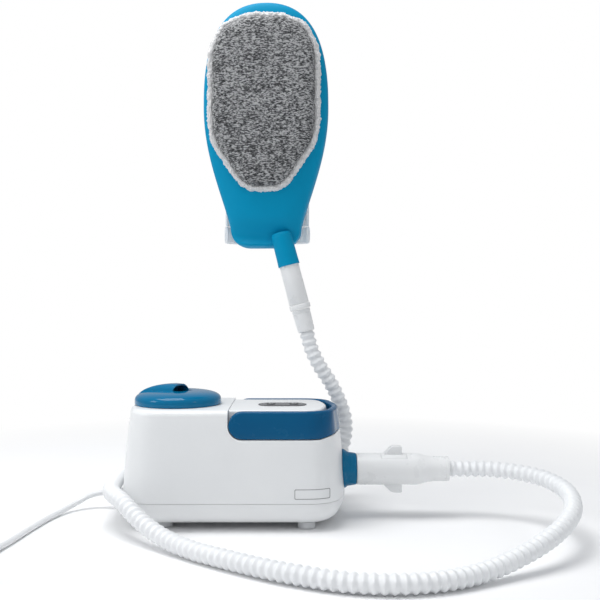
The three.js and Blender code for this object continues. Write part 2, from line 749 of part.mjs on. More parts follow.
function boardPosts() {
  const reachX = BOARD_LENGTH / 2 - 5;
  const reachY = BOARD_WIDTH / 2 - 4;
  return [[-1, -1], [-1, 1], [1, -1], [1, 1]].map(([x, y]) => (
    disc(2.5, boardTopZ + GAP, DECK_TOP_Z - BODY_WALL + 0.5, 6).translate(PANEL_X + x * reachX,
      PANEL_Y + y * reachY, 0)));
}

const panelLowZ = DECK_TOP_Z - PANEL_SINK + GAP;
const panelTopZ = panelLowZ + PANEL_THICKNESS;

function controlPanel() {
  const plate = prismZ(stadium(PANEL_LENGTH, PANEL_WIDTH), panelLowZ, panelTopZ, 6).translate(PANEL_X,
    PANEL_Y, 0);
  const holes = buttonXs.flatMap((x) => [
    disc(BUTTON_RADIUS + GAP, boardTopZ, TOP_Z + 15, MIDDLE).translate(x, PANEL_Y, 0),
    disc(LENS_RADIUS + GAP, boardTopZ, TOP_Z + 15, COARSE).translate(x, PANEL_Y + LENS_OFFSET_Y, 0),
  ]);
  return cut(plate, ...holes);
}

function pushButton(x) {
  const top = panelTopZ + BUTTON_PROUD;
  const shoulder = DECK_TOP_Z - PANEL_SINK + BUTTON_TRAVEL + GAP;
  const stemEnd = boardTopZ + SWITCH_HEIGHT + BUTTON_TRAVEL + GAP;
  return revolve([[0, stemEnd], [BUTTON_STEM_RADIUS, stemEnd], [BUTTON_STEM_RADIUS, shoulder],
    [BUTTON_RADIUS, shoulder], [BUTTON_RADIUS, top - 0.6], [BUTTON_RADIUS - 0.6, top], [0, top - 0.4]])
    .translate(x, PANEL_Y, 0);
}

function panelLens(x) {
  return revolve([[0, panelLowZ], [LENS_RADIUS, panelLowZ], [LENS_RADIUS, panelTopZ],
    [0, panelTopZ + 0.6]], COARSE)
    .translate(x, PANEL_Y + LENS_OFFSET_Y, 0);
}

function controlBoard() {
  const reach = BOARD_LENGTH / 2;
  const half = BOARD_WIDTH / 2;
  const board = box(PANEL_X - reach, PANEL_X + reach, PANEL_Y - half, PANEL_Y + half,
    boardTopZ - BOARD_THICKNESS, boardTopZ);
  const switches = buttonXs.map((x) => (
    box(x - 3, x + 3, PANEL_Y - 3, PANEL_Y + 3, boardTopZ - 1, boardTopZ + SWITCH_HEIGHT)));
  const relay = box(PANEL_X - 8, PANEL_X + 8, PANEL_Y - 6, PANEL_Y + 6, boardTopZ - BOARD_THICKNESS - 10,
    boardTopZ - 1);
  return join(board, ...switches, relay);
}

// Water tank with its neck and outlet nipple
const tankInset = BODY_WALL + TANK_PLAY;
const tankOutlet = [-28, -30];
const neckTopZ = TOP_Z + NECK_RISE;

function waterTank() {
  const high = TOP_Z - tankInset;
  const edge = TOP_EDGE - BODY_WALL;
  const facets = INNER_FACETS;
  const outer = common(bodyForm({ inset: tankInset, low: TANK_FLOOR_Z, high, lowEdge: 6, highEdge: edge,
    facets }),
    box(-BODY_LENGTH, TANK_END_X, -BODY_WIDTH, BODY_WIDTH, 0, TOP_Z + 9));
  const inside = common(
    bodyForm({ inset: tankInset + TANK_WALL, low: TANK_FLOOR_Z + TANK_WALL, high: high - TANK_WALL,
      lowEdge: 5, facets }),
    box(-BODY_LENGTH, TANK_END_X - TANK_WALL, -BODY_WIDTH, BODY_WIDTH, 0, TOP_Z + 9));
  const neck = disc(NECK_RADIUS, high - TANK_WALL, neckTopZ, FINE).translate(CAP_X, 0, 0);
  const mouth = disc(NECK_RADIUS - NECK_WALL, high - TANK_WALL - 5, neckTopZ + 1, FINE).translate(CAP_X, 0,
    0);
  const nipple = disc(TUBE_RADIUS + 0.8, TANK_FLOOR_Z - NIPPLE_LENGTH, TANK_FLOOR_Z + 1, COARSE)
    .translate(...tankOutlet, 0);
  const drain = disc(TUBE_BORE + 0.4, TANK_FLOOR_Z - NIPPLE_LENGTH - 1, TANK_FLOOR_Z + TANK_WALL + 1,
    COARSE)
    .translate(...tankOutlet, 0);
  return cut(join(outer, neck, nipple), inside, mouth, drain);
}

// Cap: a low dome with a raised hood over a finger hollow, and room under it for its plug insert
const capRimZ = TOP_Z + GAP;
const capDomeZ = capRimZ + CAP_RIM_HEIGHT;
const plugRadius = NECK_RADIUS - NECK_WALL - PLUG_CLEARANCE;
const gasketSeatZ = neckTopZ + GAP + GASKET_HEIGHT + GAP;
const plugFlangeRadius = NECK_RADIUS + 2.2;
const capCeilingZ = capDomeZ + CAP_HEIGHT - POCKET_FLOOR - CAP_WALL;

function domeProfile(radius, height, roundness) {
  const points = [];
  for (let k = 0; k <= 6; k += 1) {
    const angle = (k / 6) * (Math.PI / 2);
    points.push([radius * Math.sin(angle) ** (2 / roundness),
      capDomeZ + height * Math.cos(angle) ** (2 / roundness)]);
  }
  points[0][0] = 0;
  points[6][1] = capDomeZ;
  return points;
}

function tankCap() {
  const shell = revolve([
    ...domeProfile(CAP_RADIUS, CAP_HEIGHT, CAP_ROUNDNESS),
    [CAP_RADIUS - 0.3, capRimZ], [CAP_RADIUS - CAP_WALL, capRimZ],
    [CAP_RADIUS - CAP_WALL - 1, capDomeZ + 4],
    [plugFlangeRadius + GAP, capDomeZ + 7.5], [plugRadius + GAP, capCeilingZ], [0, capCeilingZ],
  ], FINE);
  const tall = revolve([...domeProfile(CAP_RADIUS - 0.2, HOOD_HEIGHT, HOOD_ROUNDNESS), [0, capDomeZ]],
    FINE);
  const hood = common(tall,
    box(-CAP_RADIUS, HOOD_END, -HOOD_HALF_WIDTH, HOOD_HALF_WIDTH, capDomeZ + 5, capDomeZ + 30));
  const floor = capDomeZ + CAP_HEIGHT - POCKET_FLOOR;
  const arch = new THREE.Shape();
  const half = POCKET_WIDTH / 2;
  const spring = floor + 3;
  arch.moveTo(-half, floor);
  arch.lineTo(half, floor);
  arch.lineTo(half, spring);
  arch.absellipse(0, spring, half, capDomeZ + HOOD_HEIGHT - 1.6 - spring, 0, Math.PI, false);
  const tunnel = prismX(arch, HOOD_END - POCKET_DEPTH, HOOD_END + 1, 6);
  const notch = box(HOOD_END, HOOD_END + POCKET_MOUTH, -half, half, floor, capDomeZ + 30);
  const room = plugFlangeRadius + PLUG_ROOM;
  const plugRoom = revolve([[0, capRimZ], [room, capRimZ], [room, capDomeZ + 7.5],
    [plugRadius + PLUG_ROOM, capCeilingZ], [0, capCeilingZ]], MIDDLE);
  const solid = cut(join(shell, hood), plugRoom, tunnel, notch);
  return solid.rotateZ(degToRad(HOOD_TURN)).translate(CAP_X, 0, 0);
}

// Plug insert, held under the cap's cover: its flange presses the gasket and its tube goes into the neck
function capPlug() {
  const bore = plugRadius - CAP_WALL;
  const foot = neckTopZ - PLUG_DEPTH;
  return revolve([[bore, foot], [plugRadius, foot], [plugRadius, gasketSeatZ],
    [plugFlangeRadius, gasketSeatZ],
    [plugFlangeRadius, capDomeZ + 7.2], [plugRadius, capCeilingZ - GAP], [bore, capCeilingZ - GAP],
    [bore, foot]],
  MIDDLE).translate(CAP_X, 0, 0);
}

function capGasket() {
  const low = neckTopZ + GAP;
  const high = low + GASKET_HEIGHT;
  const inner = plugRadius + PLUG_CLEARANCE + 0.2;
  const outer = NECK_RADIUS;
  return revolve([[inner, low], [outer, low], [outer, high], [inner, high], [inner, low]], MIDDLE + 6)
    .translate(CAP_X, 0, 0);
}

// Pump, boiler and plumbing
const pumpAxisZ = trayFloorZ + GAP + PUMP_COIL_DEPTH / 2;

function waterPump() {
  const half = PUMP_COIL / 2;
  const coil = box(PUMP_X - half, PUMP_X + half, -15, 15, trayFloorZ + GAP,
    trayFloorZ + GAP + PUMP_COIL_DEPTH);
  const barrel = alongY(revolve([[0, -PUMP_BARREL_HALF - NIPPLE_LENGTH],
    [TUBE_BORE + 1.2, -PUMP_BARREL_HALF - NIPPLE_LENGTH],
    [TUBE_BORE + 1.2, -PUMP_BARREL_HALF], [PUMP_BARREL_RADIUS, -PUMP_BARREL_HALF],
      [PUMP_BARREL_RADIUS, PUMP_BARREL_HALF],
    [TUBE_BORE + 1.2, PUMP_BARREL_HALF], [TUBE_BORE + 1.2, PUMP_BARREL_HALF + NIPPLE_LENGTH],
    [0, PUMP_BARREL_HALF + NIPPLE_LENGTH]], 16)).translate(PUMP_X, 0, pumpAxisZ);
  return join(coil, barrel);
}

function pumpInletTube() {
  const end = PUMP_BARREL_HALF + NIPPLE_LENGTH + GAP;
  const [x, y] = tankOutlet;
  const top = TANK_FLOOR_Z - NIPPLE_LENGTH - GAP;
  return pipe([vec(x, y, top), vec(x, y, top - 9), vec(x + 5, y - 8, pumpAxisZ - 9),
    vec(-12, PUMP_TUBE_INSET - BODY_WIDTH / 2, pumpAxisZ - 9),
    vec(PUMP_X - 3, -end - 11, pumpAxisZ - 2),
      vec(PUMP_X, -end - 7, pumpAxisZ), vec(PUMP_X, -end, pumpAxisZ)],
  TUBE_RADIUS, TUBE_BORE, 8);
}

const boilerInlet = [20, 60];

function pumpOutletTube() {
  const end = PUMP_BARREL_HALF + NIPPLE_LENGTH + GAP;
  const [y, z] = boilerInlet;
  return pipe([vec(PUMP_X, end, pumpAxisZ), vec(PUMP_X, end + 6, pumpAxisZ),
    vec(PUMP_X + 1, end + 10, pumpAxisZ + 8),
    vec(PUMP_X + 3, end + 7, z - 12), vec(PUMP_X + 6, y + 12, z - 3), vec(BOILER_START_X - 7, y, z),
    vec(BOILER_START_X - GAP, y, z)], TUBE_RADIUS, TUBE_BORE, 8);
}

function roundedRect(width, depth, radius) {
  const shape = new THREE.Shape();
  const [x, y] = [width / 2 - radius, depth / 2 - radius];
  shape.absarc(x, -y, radius, -Math.PI / 2, 0, false);
  shape.absarc(x, y, radius, 0, Math.PI / 2, false);
  shape.absarc(-x, y, radius, Math.PI / 2, Math.PI, false);
  shape.absarc(-x, -y, radius, Math.PI, Math.PI * 1.5, false);
  return shape;
}

function elementPath(start) {
  const turnX = boilerEndX - 12 - ELEMENT_SPREAD;
  const path = new THREE.CurvePath();
  path.add(new THREE.LineCurve3(vec(start, -ELEMENT_SPREAD, ELEMENT_Z),
    vec(turnX, -ELEMENT_SPREAD, ELEMENT_Z)));
  const steps = 6;
  let before = vec(turnX, -ELEMENT_SPREAD, ELEMENT_Z);
  for (let k = 1; k <= steps; k += 1) {
    const angle = -Math.PI / 2 + (k / steps) * Math.PI;
    const next = vec(turnX + Math.cos(angle) * ELEMENT_SPREAD, Math.sin(angle) * ELEMENT_SPREAD, ELEMENT_Z);
    path.add(new THREE.LineCurve3(before, next));
    before = next;
  }
  path.add(new THREE.LineCurve3(before, vec(start, ELEMENT_SPREAD, ELEMENT_Z)));
  return path;
}

// Centre points of the heating element, at its straight ends and round its bend
function elementRod(start, radius) {
  const { curves } = elementPath(start);
  const centres = [curves[0].v1, ...curves.map((line) => line.v2)];
  return skin(tubeSkin(centres, centres.map(() => radius), 8));
}

function boilerBody() {
  const middle = (BOILER_START_X + boilerEndX) / 2;
  const part = (inset, low, high) => (
    prismZ(roundedRect(boilerLength - inset * 2, BOILER_WIDTH - inset * 2, 9 - inset), low, high,
      3).translate(middle, 0, 0));
  const lidZ = BOILER_FLOOR_Z + BOILER_HEIGHT * 0.62;
  const top = BOILER_FLOOR_Z + BOILER_HEIGHT;
  const ribs = [-14, 0,
    14].map((y) => box(BOILER_START_X + 8, boilerEndX - 8, y - 1.2, y + 1.2, top - 4, top));
  const block = join(part(3, BOILER_FLOOR_Z, lidZ), part(0, lidZ - 3, lidZ + 3), part(4, lidZ, top - 2.5),
    ...ribs);
  const sides = [BOILER_START_X, boilerEndX].map((x) => (
    alongX(disc(8, x === BOILER_START_X ? x : x - 6, x === BOILER_START_X ? x + 6 : x, COARSE))));
  const inlet = sides[0].translate(0, boilerInlet[0], boilerInlet[1]);
  const outlet = sides[1].translate(0, 0, OUTLET_Z);
  return cut(join(block, inlet, outlet), elementRod(BOILER_START_X - 8, ELEMENT_RADIUS + GAP));
}

function heatingElement() {
  const start = BOILER_START_X - 5;
  const terminals = [-1, 1].map((side) => (
    alongX(disc(1.5, start - 7, start + 3, 8)).translate(0, side * ELEMENT_SPREAD, ELEMENT_Z)));
  return join(elementRod(start, ELEMENT_RADIUS), ...terminals);
}

function boilerBracket() {
  const top = BOILER_FLOOR_Z - GAP;
  const low = trayFloorZ + GAP;
  const half = BOILER_WIDTH / 2 + 2;
  const t = BRACKET_THICKNESS;
  const right = [[half + 10, low], [half + 10, low + t], [half, low + t], [half, top], [-half, top]];
  const left = [[-half, low + t], [-half - 10, low + t], [-half - 10, low], [-half + t, low],
    [-half + t, top - t]];
  const outline = polygon([...right, ...left, [half - t, top - t], [half - t, low]]);
  const middle = (BOILER_START_X + boilerEndX) / 2;
  return prismX(outline, middle - BRACKET_LENGTH / 2, middle + BRACKET_LENGTH / 2);
}

const boilerTopZ = BOILER_FLOOR_Z + BOILER_HEIGHT;

function thermostat() {
  const disk = disc(9, boilerTopZ + GAP, boilerTopZ + GAP + 3, 16);
  const cup = disc(7, boilerTopZ + GAP + 2, boilerTopZ + GAP + 8, 16);
  const tabs = box(-11, 11, -2, 2, boilerTopZ + GAP + 5, boilerTopZ + GAP + 6);
  return join(disk, cup, tabs).translate(BOILER_START_X + boilerLength * THERMOSTAT_SHARE, 0, 0);
}

function thermalFuse() {
  const body = alongX(revolve([[0, -14], [0.8, -14], [0.8, -7], [2.2, -6], [2.2, 6], [0.8, 7], [0.8, 14],
    [0, 14]], 10));
  return body.translate(BOILER_START_X + boilerLength * FUSE_SHARE, 0, boilerTopZ + GAP + 2.2);
}

// Outlet pieces, turned on the outlet axis
function onOutlet(profile, segments = MIDDLE) {
  return alongX(revolve(profile, segments)).translate(0, 0, OUTLET_Z);
}

function steamPipe() {
  const start = boilerEndX + GAP;
  return onOutlet([[2.5, start], [8, start], [8, start + 2], [5, start + 2], [5, socketStartX - GAP],
    [2.5, socketStartX - GAP], [2.5, start]], 16);
}

function outletSocket() {
  const tube = onOutlet([[2.5, socketStartX], [SOCKET_RADIUS, socketStartX], [SOCKET_RADIUS, socketEndX],
    [SOCKET_BORE, socketEndX], [SOCKET_BORE, socketStartX + 2],
      [2.5, socketStartX + 2], [2.5, socketStartX]]);
  const [near, far] = [bodyEndX - 7.6, bodyEndX + 4];
  const flange = onOutlet([[SOCKET_RADIUS - 1, near], [17, near], [17, far], [SOCKET_RADIUS - 1, far],
    [SOCKET_RADIUS - 1, near]]);
  const cavity = bodyForm({ inset: BODY_WALL + GAP, low: SEAM_Z, high: 80, facets: INNER_FACETS });
  return join(tube, common(flange, cavity));
}

function outletCollar() {
  const start = bodyEndX - COLLAR_SINK;
  const outer = [[COLLAR_ROOT_RADIUS, start], [COLLAR_ROOT_RADIUS, bodyEndX - 2],
    [COLLAR_ROOT_RADIUS - 1, bodyEndX + 0.3],
    [COLLAR_ROOT_RADIUS - 2.9, bodyEndX + 3],
      [COLLAR_END_RADIUS + 0.4, bodyEndX + 8], [COLLAR_END_RADIUS, collarEndX]];
  const ring = onOutlet([...outer, [COLLAR_LIP_RADIUS, collarEndX],
    [COLLAR_LIP_RADIUS, collarEndX - COLLAR_LIP],
    [COLLAR_BORE, collarEndX - COLLAR_LIP], [COLLAR_BORE, start], outer[0]], 18);
  return cut(ring, bodyForm({ inset: -GAP, low: SEAM_Z, high: TOP_Z, highEdge: TOP_EDGE }));
}

function hoseConnector() {
  const start = collarEndX + GAP;
  const r = CONNECTOR_RADIUS;
  const body = onOutlet([[NOZZLE_RADIUS + GAP, start], [r - 0.8, start], [r, start + 0.8],
    [r, connectorTaperX],
    [CONNECTOR_NECK_RADIUS + 0.6, connectorNeckX - 1], [CONNECTOR_NECK_RADIUS, connectorNeckX + 2],
    [CONNECTOR_NECK_RADIUS, connectorEndX], [HOSE_BORE, connectorEndX], [HOSE_BORE, nozzleEndX + GAP],
    [NOZZLE_RADIUS + GAP, nozzleEndX + GAP], [NOZZLE_RADIUS + GAP, start]], 18);
  return cut(body, latchRoom(), latchRoom().rotateX(Math.PI).translate(0, 0, OUTLET_Z * 2));
}

// The room that a latch takes in the connector, with space below it to swing in
function latchRoom() {
  const low = OUTLET_Z + LATCH_LOW - LATCH_SWING + 0.2;
  const high = OUTLET_Z + LATCH_HIGH + GAP;
  const arm = LATCH_HALF_WIDTH + GAP;
  const pad = LATCH_PAD_HALF_WIDTH + GAP;
  const channel = box(collarEndX - 5, latchPivotX, -arm, arm, low, high);
  const window = box(latchPadStartX - GAP, latchPadEndX + GAP, -pad, pad, OUTLET_Z + LATCH_LOW - 2,
    OUTLET_Z + 30);
  const seat = latchPivot(PIVOT_SEAT_RADIUS, arm + 2);
  return join(channel, window, seat);
}

const LATCH_PIVOT_RADIUS = 2.2;
const PIVOT_SEAT_RADIUS = LATCH_PIVOT_RADIUS + GAP;
const latchPivotZ = OUTLET_Z + (LATCH_LOW + LATCH_HIGH) / 2;

function latchPivot(radius, half) {
  return alongY(disc(radius, -half, half, COARSE)).translate(latchPivotX, 0, latchPivotZ);
}

function latch() {
  const [low, high] = [OUTLET_Z + LATCH_LOW, OUTLET_Z + LATCH_HIGH];
  const hookX = collarEndX - COLLAR_LIP - GAP;
  const arm = polygon([[hookX - 3, low], [latchPivotX, low], [latchPivotX, high], [hookX, high],
    [hookX, high + 2.2],
    [hookX - 1.5, high + 2.2], [hookX - 3, high + 0.8]]);
  const bar = prismY(arm, -LATCH_HALF_WIDTH, LATCH_HALF_WIDTH);
  const round = alongX(disc(CONNECTOR_RADIUS, latchPadStartX, latchPadEndX, 18)).translate(0, 0, OUTLET_Z);
  const pad = common(round, box(100, 220, -LATCH_PAD_HALF_WIDTH, LATCH_PAD_HALF_WIDTH, low, OUTLET_Z + 30));
  const skinZ = OUTLET_Z + CONNECTOR_RADIUS;
  const top = skinZ + FIN_HEIGHT;
  const fin = polygon([[finStartX, skinZ - 1], [finEndX, skinZ - 1], [finEndX, top - 1], [finEndX - 1, top],
    [finStartX + 10, top], [finStartX + 6.5, top - 1], [finStartX, skinZ + 0.6]]);
  const barrel = latchPivot(LATCH_PIVOT_RADIUS, LATCH_HALF_WIDTH + 1.7);
  return join(bar, pad, prismY(fin, -FIN_HALF_WIDTH, FIN_HALF_WIDTH), barrel);
}

const sealX = nozzleStartX + 5;

function connectorNozzle() {
  const groove = NOZZLE_RADIUS - 1.6;
  return onOutlet([[NOZZLE_BORE, nozzleStartX], [NOZZLE_RADIUS - 0.8, nozzleStartX],
    [NOZZLE_RADIUS, nozzleStartX + 1.5],
    [NOZZLE_RADIUS, sealX - 1.3], [groove, sealX - 1.3], [groove, sealX + 1.3],
      [NOZZLE_RADIUS, sealX + 1.3],
    [NOZZLE_RADIUS, nozzleEndX], [NOZZLE_BORE, nozzleEndX], [NOZZLE_BORE, nozzleStartX]]);
}

function connectorSeal() {
  const [inner, outer] = [NOZZLE_RADIUS - 1.3, SOCKET_BORE - GAP];
  const middle = (inner + outer) / 2;
  const profile = [];
  for (let k = 0; k <= 6; k += 1) {
    const angle = (k / 6) * Math.PI * 2;
    profile.push([middle + (Math.cos(angle) * (outer - inner)) / 2, sealX + Math.sin(angle)]);
  }
  profile[6] = [...profile[0]];
  return onOutlet(profile);
}

// Glove sections: half width and front depth at a height above its lower edge
function gloveHalfWidth(z) {
  if (z > GLOVE_WIDEST_Z) {
    const share = (z - GLOVE_WIDEST_Z) / (GLOVE_HEIGHT + 0.6 - GLOVE_WIDEST_Z);
    return GLOVE_HALF_WIDTH * (1 - share ** GLOVE_ROUNDNESS) ** (1 / GLOVE_ROUNDNESS);
  }
  const corner = 22;
  const rise = clamp((z - GLOVE_HEEL_Z) / (GLOVE_WIDEST_Z - GLOVE_HEEL_Z), 0, 1);
  const side = GLOVE_HEEL_HALF_WIDTH
    + (GLOVE_HALF_WIDTH - GLOVE_HEEL_HALF_WIDTH) * Math.sin((rise * Math.PI) / 2) ** 1.15;
  const low = clamp(corner - z, 0, corner);
  return side - (corner - Math.sqrt(corner * corner - low * low));
}

function gloveFront(z) {
  const dip = VALLEY_DEPTH * Math.exp(-(((z - VALLEY_Z) / VALLEY_REACH) ** 2) * (z < VALLEY_Z ? 3.5 : 1));
  const round = z < 4 ? 3 * (1 - z / 4) ** 2 : 0;
  return GLOVE_FRONT * Math.sqrt(clamp(gloveHalfWidth(z) / GLOVE_HALF_WIDTH, 0.15,
    1)) ** (z > GLOVE_WIDEST_Z ? 1 : 0.2) - dip - round;
}

// One level ring of the glove: a full rounded front and a nearly square back
function gloveRing(z, half, front, back) {
  const ring = [];
  for (let k = 0; k <= 8; k += 1) {
    const angle = (k / 8) * Math.PI;
    const [c, s] = [Math.cos(angle), Math.sin(angle)];
    ring.push(vec(-half * Math.sign(c) * Math.abs(c) ** (2 / 2.6), -front * Math.max(s, 0) ** (2 / 2.6),
      z));
  }
  const corner = Math.min(2.5, half / 4);
  for (const [side, x, y] of [[1, 0, back - corner], [1, corner, back], [-1, corner, back],
    [-1, 0, back - corner]]) {
    ring.push(vec(side * (half - x), y, z));
  }
  return ring;
}

// The glove's form, drawn in all round by an inset; its back may run on past the rim
function gloveForm(inset, back = GLOVE_BACK) {
  const shares = [0, 0.01, 0.03, 0.06, 0.1, 0.17, 0.28, 0.46, 0.62, 0.76, 0.87, 0.95, 0.995];
  return skin(shares.map((share) => {
    const z = share * GLOVE_HEIGHT;
    const level = lerp(inset, GLOVE_HEIGHT - inset, share);
    return gloveRing(level, gloveHalfWidth(z) - inset, gloveFront(z) - inset, back);
  }));
}

// Superellipse outline in X and Z, grown along its normals
function ovalPoints(halfWidth, halfHeight, roundness, grow, count = 28) {
  const at = (k) => {
    const angle = (k / count) * Math.PI * 2;
    const [c, s] = [Math.cos(angle), Math.sin(angle)];
    const point = new THREE.Vector2(
      halfWidth * Math.sign(c) * Math.abs(c) ** (2 / roundness),
      halfHeight * Math.sign(s) * Math.abs(s) ** (2 / roundness));
    const normal = new THREE.Vector2(
      Math.sign(point.x) * Math.abs(point.x / halfWidth) ** (roundness - 1) / halfWidth,
      Math.sign(point.y) * Math.abs(point.y / halfHeight) ** (roundness - 1) / halfHeight).normalize();
    return point.addScaledVector(normal, grow);
  };
  return Array.from({ length: count }, (_, k) => at(k));
}

function ovalBlock(halfWidth, halfHeight, roundness, near, far, grow = 0) {
  const shape = new THREE.Shape(ovalPoints(halfWidth, halfHeight, roundness, grow));
  return prismY(shape, near, far).translate(0, 0, PLATE_CENTRE_Z);
}

// The swivel axis: from the stub's mouth down to the hose
const tubeDown = vec(Math.sin(degToRad(TUBE_TILT)), 0, -Math.cos(degToRad(TUBE_TILT)));
const stubMouth = vec(TUBE_OFFSET_X, TUBE_OFFSET_Y, STUB_MOUTH_Z);
const alongTube = (distance) => stubMouth.clone().addScaledVector(tubeDown, distance);

// A round on the swivel axis; heights in its profile run down from the stub's mouth
function onTube(profile, segments = MIDDLE) {
  const turn = new THREE.Quaternion().setFromUnitVectors(Z_AXIS, tubeDown);
  return revolve(profile, segments).applyQuaternion(turn).translate(stubMouth.x, stubMouth.y, stubMouth.z);
}

function glovePipePoints() {
  return [alongTube(-STUB_SOCKET_DEPTH - 1), alongTube(-STUB_SOCKET_DEPTH - 9), vec(18, -5.5, 16),
    vec(13, -3, 32),
    vec(4, -5, 62), vec(0, -9, 84), vec(0, -11.5, PLATE_CENTRE_Z - CHAMBER_HALF_HEIGHT - 10),
    vec(0, -11.5, PLATE_CENTRE_Z - CHAMBER_HALF_HEIGHT - GAP)];
}

function gloveShell() {
  const body = cut(gloveForm(0), gloveForm(GLOVE_WALL, GLOVE_BACK + 5));
  const stub = onTube([[0, 0], [STUB_MOUTH_RADIUS, 0], [STUB_MOUTH_RADIUS - 0.2, -6],
    [STUB_TOP_RADIUS, -STUB_LENGTH + 3],
    [STUB_TOP_RADIUS - 3, -STUB_LENGTH], [0, -STUB_LENGTH]]);
  const socket = onTube([[0, 2], [SWIVEL_TUBE_RADIUS + GAP, 2],
    [SWIVEL_TUBE_RADIUS + GAP, -STUB_SOCKET_DEPTH],
    [STUB_BORE, -STUB_SOCKET_DEPTH], [STUB_BORE, -STUB_SOCKET_DEPTH - 12], [0, -STUB_SOCKET_DEPTH - 12]]);
  const pipeRoom = skin(tubeSkin(
    new THREE.CatmullRomCurve3(glovePipePoints().slice(1, 6), false, 'centripetal').getSpacedPoints(10),
    new Array(11).fill(STUB_BORE), 10));
  const window = ovalBlock(PLATE_HALF_WIDTH, PLATE_HALF_HEIGHT, PAD_ROUNDNESS, -GLOVE_FRONT - 10, 0);
  return cut(join(body, stub), socket, pipeRoom, window);
}

function steamPlate() {
  const wall = cut(gloveForm(0), gloveForm(GLOVE_WALL, GLOVE_BACK + 5));
  const outline = ovalBlock(PLATE_HALF_WIDTH, PLATE_HALF_HEIGHT, PAD_ROUNDNESS, -GLOVE_FRONT - 10, 0, -GAP);
  const holes = [];
  for (const row of [-2, -1, 0, 1, 2]) {
    for (const x of row % 2 === 0 ? [-16, 16] : [0]) {
      holes.push(alongY(disc(STEAM_HOLE_RADIUS, -GLOVE_FRONT - 5, 0, 6)).translate(x, 0,
        PLATE_CENTRE_Z + row * 22));
    }
  }
  return cut(common(wall, outline), ...holes);
}

function steamChamber() {
  const back = -GLOVE_FRONT + GLOVE_WALL + CHAMBER_DEPTH + 2;
  const block = common(
    ovalBlock(CHAMBER_HALF_WIDTH, CHAMBER_HALF_HEIGHT, PAD_ROUNDNESS, -GLOVE_FRONT - 10, back),
    gloveForm(GLOVE_WALL + GAP, GLOVE_BACK));
  const hollow = ovalBlock(CHAMBER_HALF_WIDTH, CHAMBER_HALF_HEIGHT, PAD_ROUNDNESS, -GLOVE_FRONT - 10,
    back - 2.2, -2.5);
  const low = PLATE_CENTRE_Z - CHAMBER_HALF_HEIGHT;
  return cut(block, hollow, disc(2.5, low - 2, low + 5, 10).translate(0, -11.5, 0));
}

function gloveSteamPipe() {
  return pipe(glovePipePoints(), STUB_BORE - 1, STUB_BORE - 2.6, 10);
}

function gloveBackPlate() {
  const slab = box(-90, 90, GLOVE_BACK - BACK_PLATE_THICKNESS - GAP, GLOVE_BACK - GAP, 0, GLOVE_HEIGHT);
  return common(gloveForm(GLOVE_WALL + GAP, GLOVE_BACK + 5), slab);
}

// Hand pocket on the back: a fabric shell, open below where the hand goes in
function pocketRing(z, half, depth, front) {
  const ring = [];
  for (let k = 0; k <= 10; k += 1) {
    const angle = (k / 10) * Math.PI;
    ring.push(vec(half * Math.cos(angle) * Math.abs(Math.cos(angle)) ** -0.25 || 0,
      front + depth * Math.sin(angle) ** 0.75, z));
  }
  return ring;
}

function pocketForm(low, high, inset, front) {
  const rings = [];
  for (let k = 0; k <= 7; k += 1) {
    const share = (k / 7) ** 0.8;
    const z = lerp(low, high - inset, share);
    const close = clamp((z - 110) / (HAND_END_Z - 110), 0, 1);
    const half = HAND_HALF_WIDTH * Math.sqrt(1 - (close * 0.9) ** 3) - inset;
    const depth = HAND_DEPTH * Math.cos(close * Math.PI * 0.42) - inset;
    rings.push(pocketRing(z, half, depth, front));
  }
  return skin(rings);
}

const backFaceY = GLOVE_BACK + GAP;

function handPocket() {
  const outer = pocketForm(HAND_START_Z, HAND_END_Z, 0, backFaceY);
  return cut(outer, pocketForm(HAND_START_Z - 2, HAND_END_Z, HAND_WALL, backFaceY - 1));
}

function wristCuff() {
  const outer = skin([WRIST_START_Z,
    HAND_START_Z - GAP].map((z) => pocketRing(z, HAND_HALF_WIDTH + 1.5, HAND_DEPTH + 1.5, backFaceY)));
  const inner = skin([WRIST_START_Z - 2, HAND_START_Z + 2].map((z) => (
    pocketRing(z, HAND_HALF_WIDTH + 1.5 - WRIST_WALL, HAND_DEPTH + 1.5 - WRIST_WALL, backFaceY - 1))));
  return cut(outer, inner);
}

// Pad: a crowned pillow over the plate, with a bound edge round it
function glovePad() {
  const layers = [[0, 0], [-28, 0], [-31.5, -2.2], [-34, -7], [-PAD_FRONT + 0.3, -16], [-PAD_FRONT, -30]];
  const rings = layers.map(([y, grow]) => ovalPoints(PAD_HALF_WIDTH, PAD_HALF_HEIGHT, PAD_ROUNDNESS, grow)
    .map((point) => vec(point.x, y, point.y + PLATE_CENTRE_Z)));
  return cut(skin(rings), gloveForm(-GAP));
}

function padBinding() {
  const count = 28;
  const reach = BINDING_RADIUS + GAP;
  const places = (grow) => ovalPoints(PAD_HALF_WIDTH, PAD_HALF_HEIGHT, PAD_ROUNDNESS, grow, count);
  const [middle, outside] = [places(reach), places(reach + 1)];
  const sides = 5;
  const points = [];
  middle.forEach((point, k) => {
    const out = outside[k].clone().sub(point).normalize();
    for (let i = 0; i < sides; i += 1) {
      const angle = (i / sides) * Math.PI * 2;
      const arm = Math.cos(angle) * BINDING_RADIUS;
      points.push(vec(point.x + out.x * arm, BINDING_Y + Math.sin(angle) * BINDING_RADIUS,
        point.y + out.y * arm + PLATE_CENTRE_Z));
    }
  });
  const faces = [];
  for (let k = 0; k < count; k += 1) {
    for (let i = 0; i < sides; i += 1) {
      const [a, b] = [k * sides + i, k * sides + ((i + 1) % sides)];
      const [c, d] = [((k + 1) % count) * sides + i, ((k + 1) % count) * sides + ((i + 1) % sides)];
      faces.push(a, b, d, a, d, c);
    }
  }
  return cut(tidy(meshOf(points, faces)), gloveForm(-GAP));
}

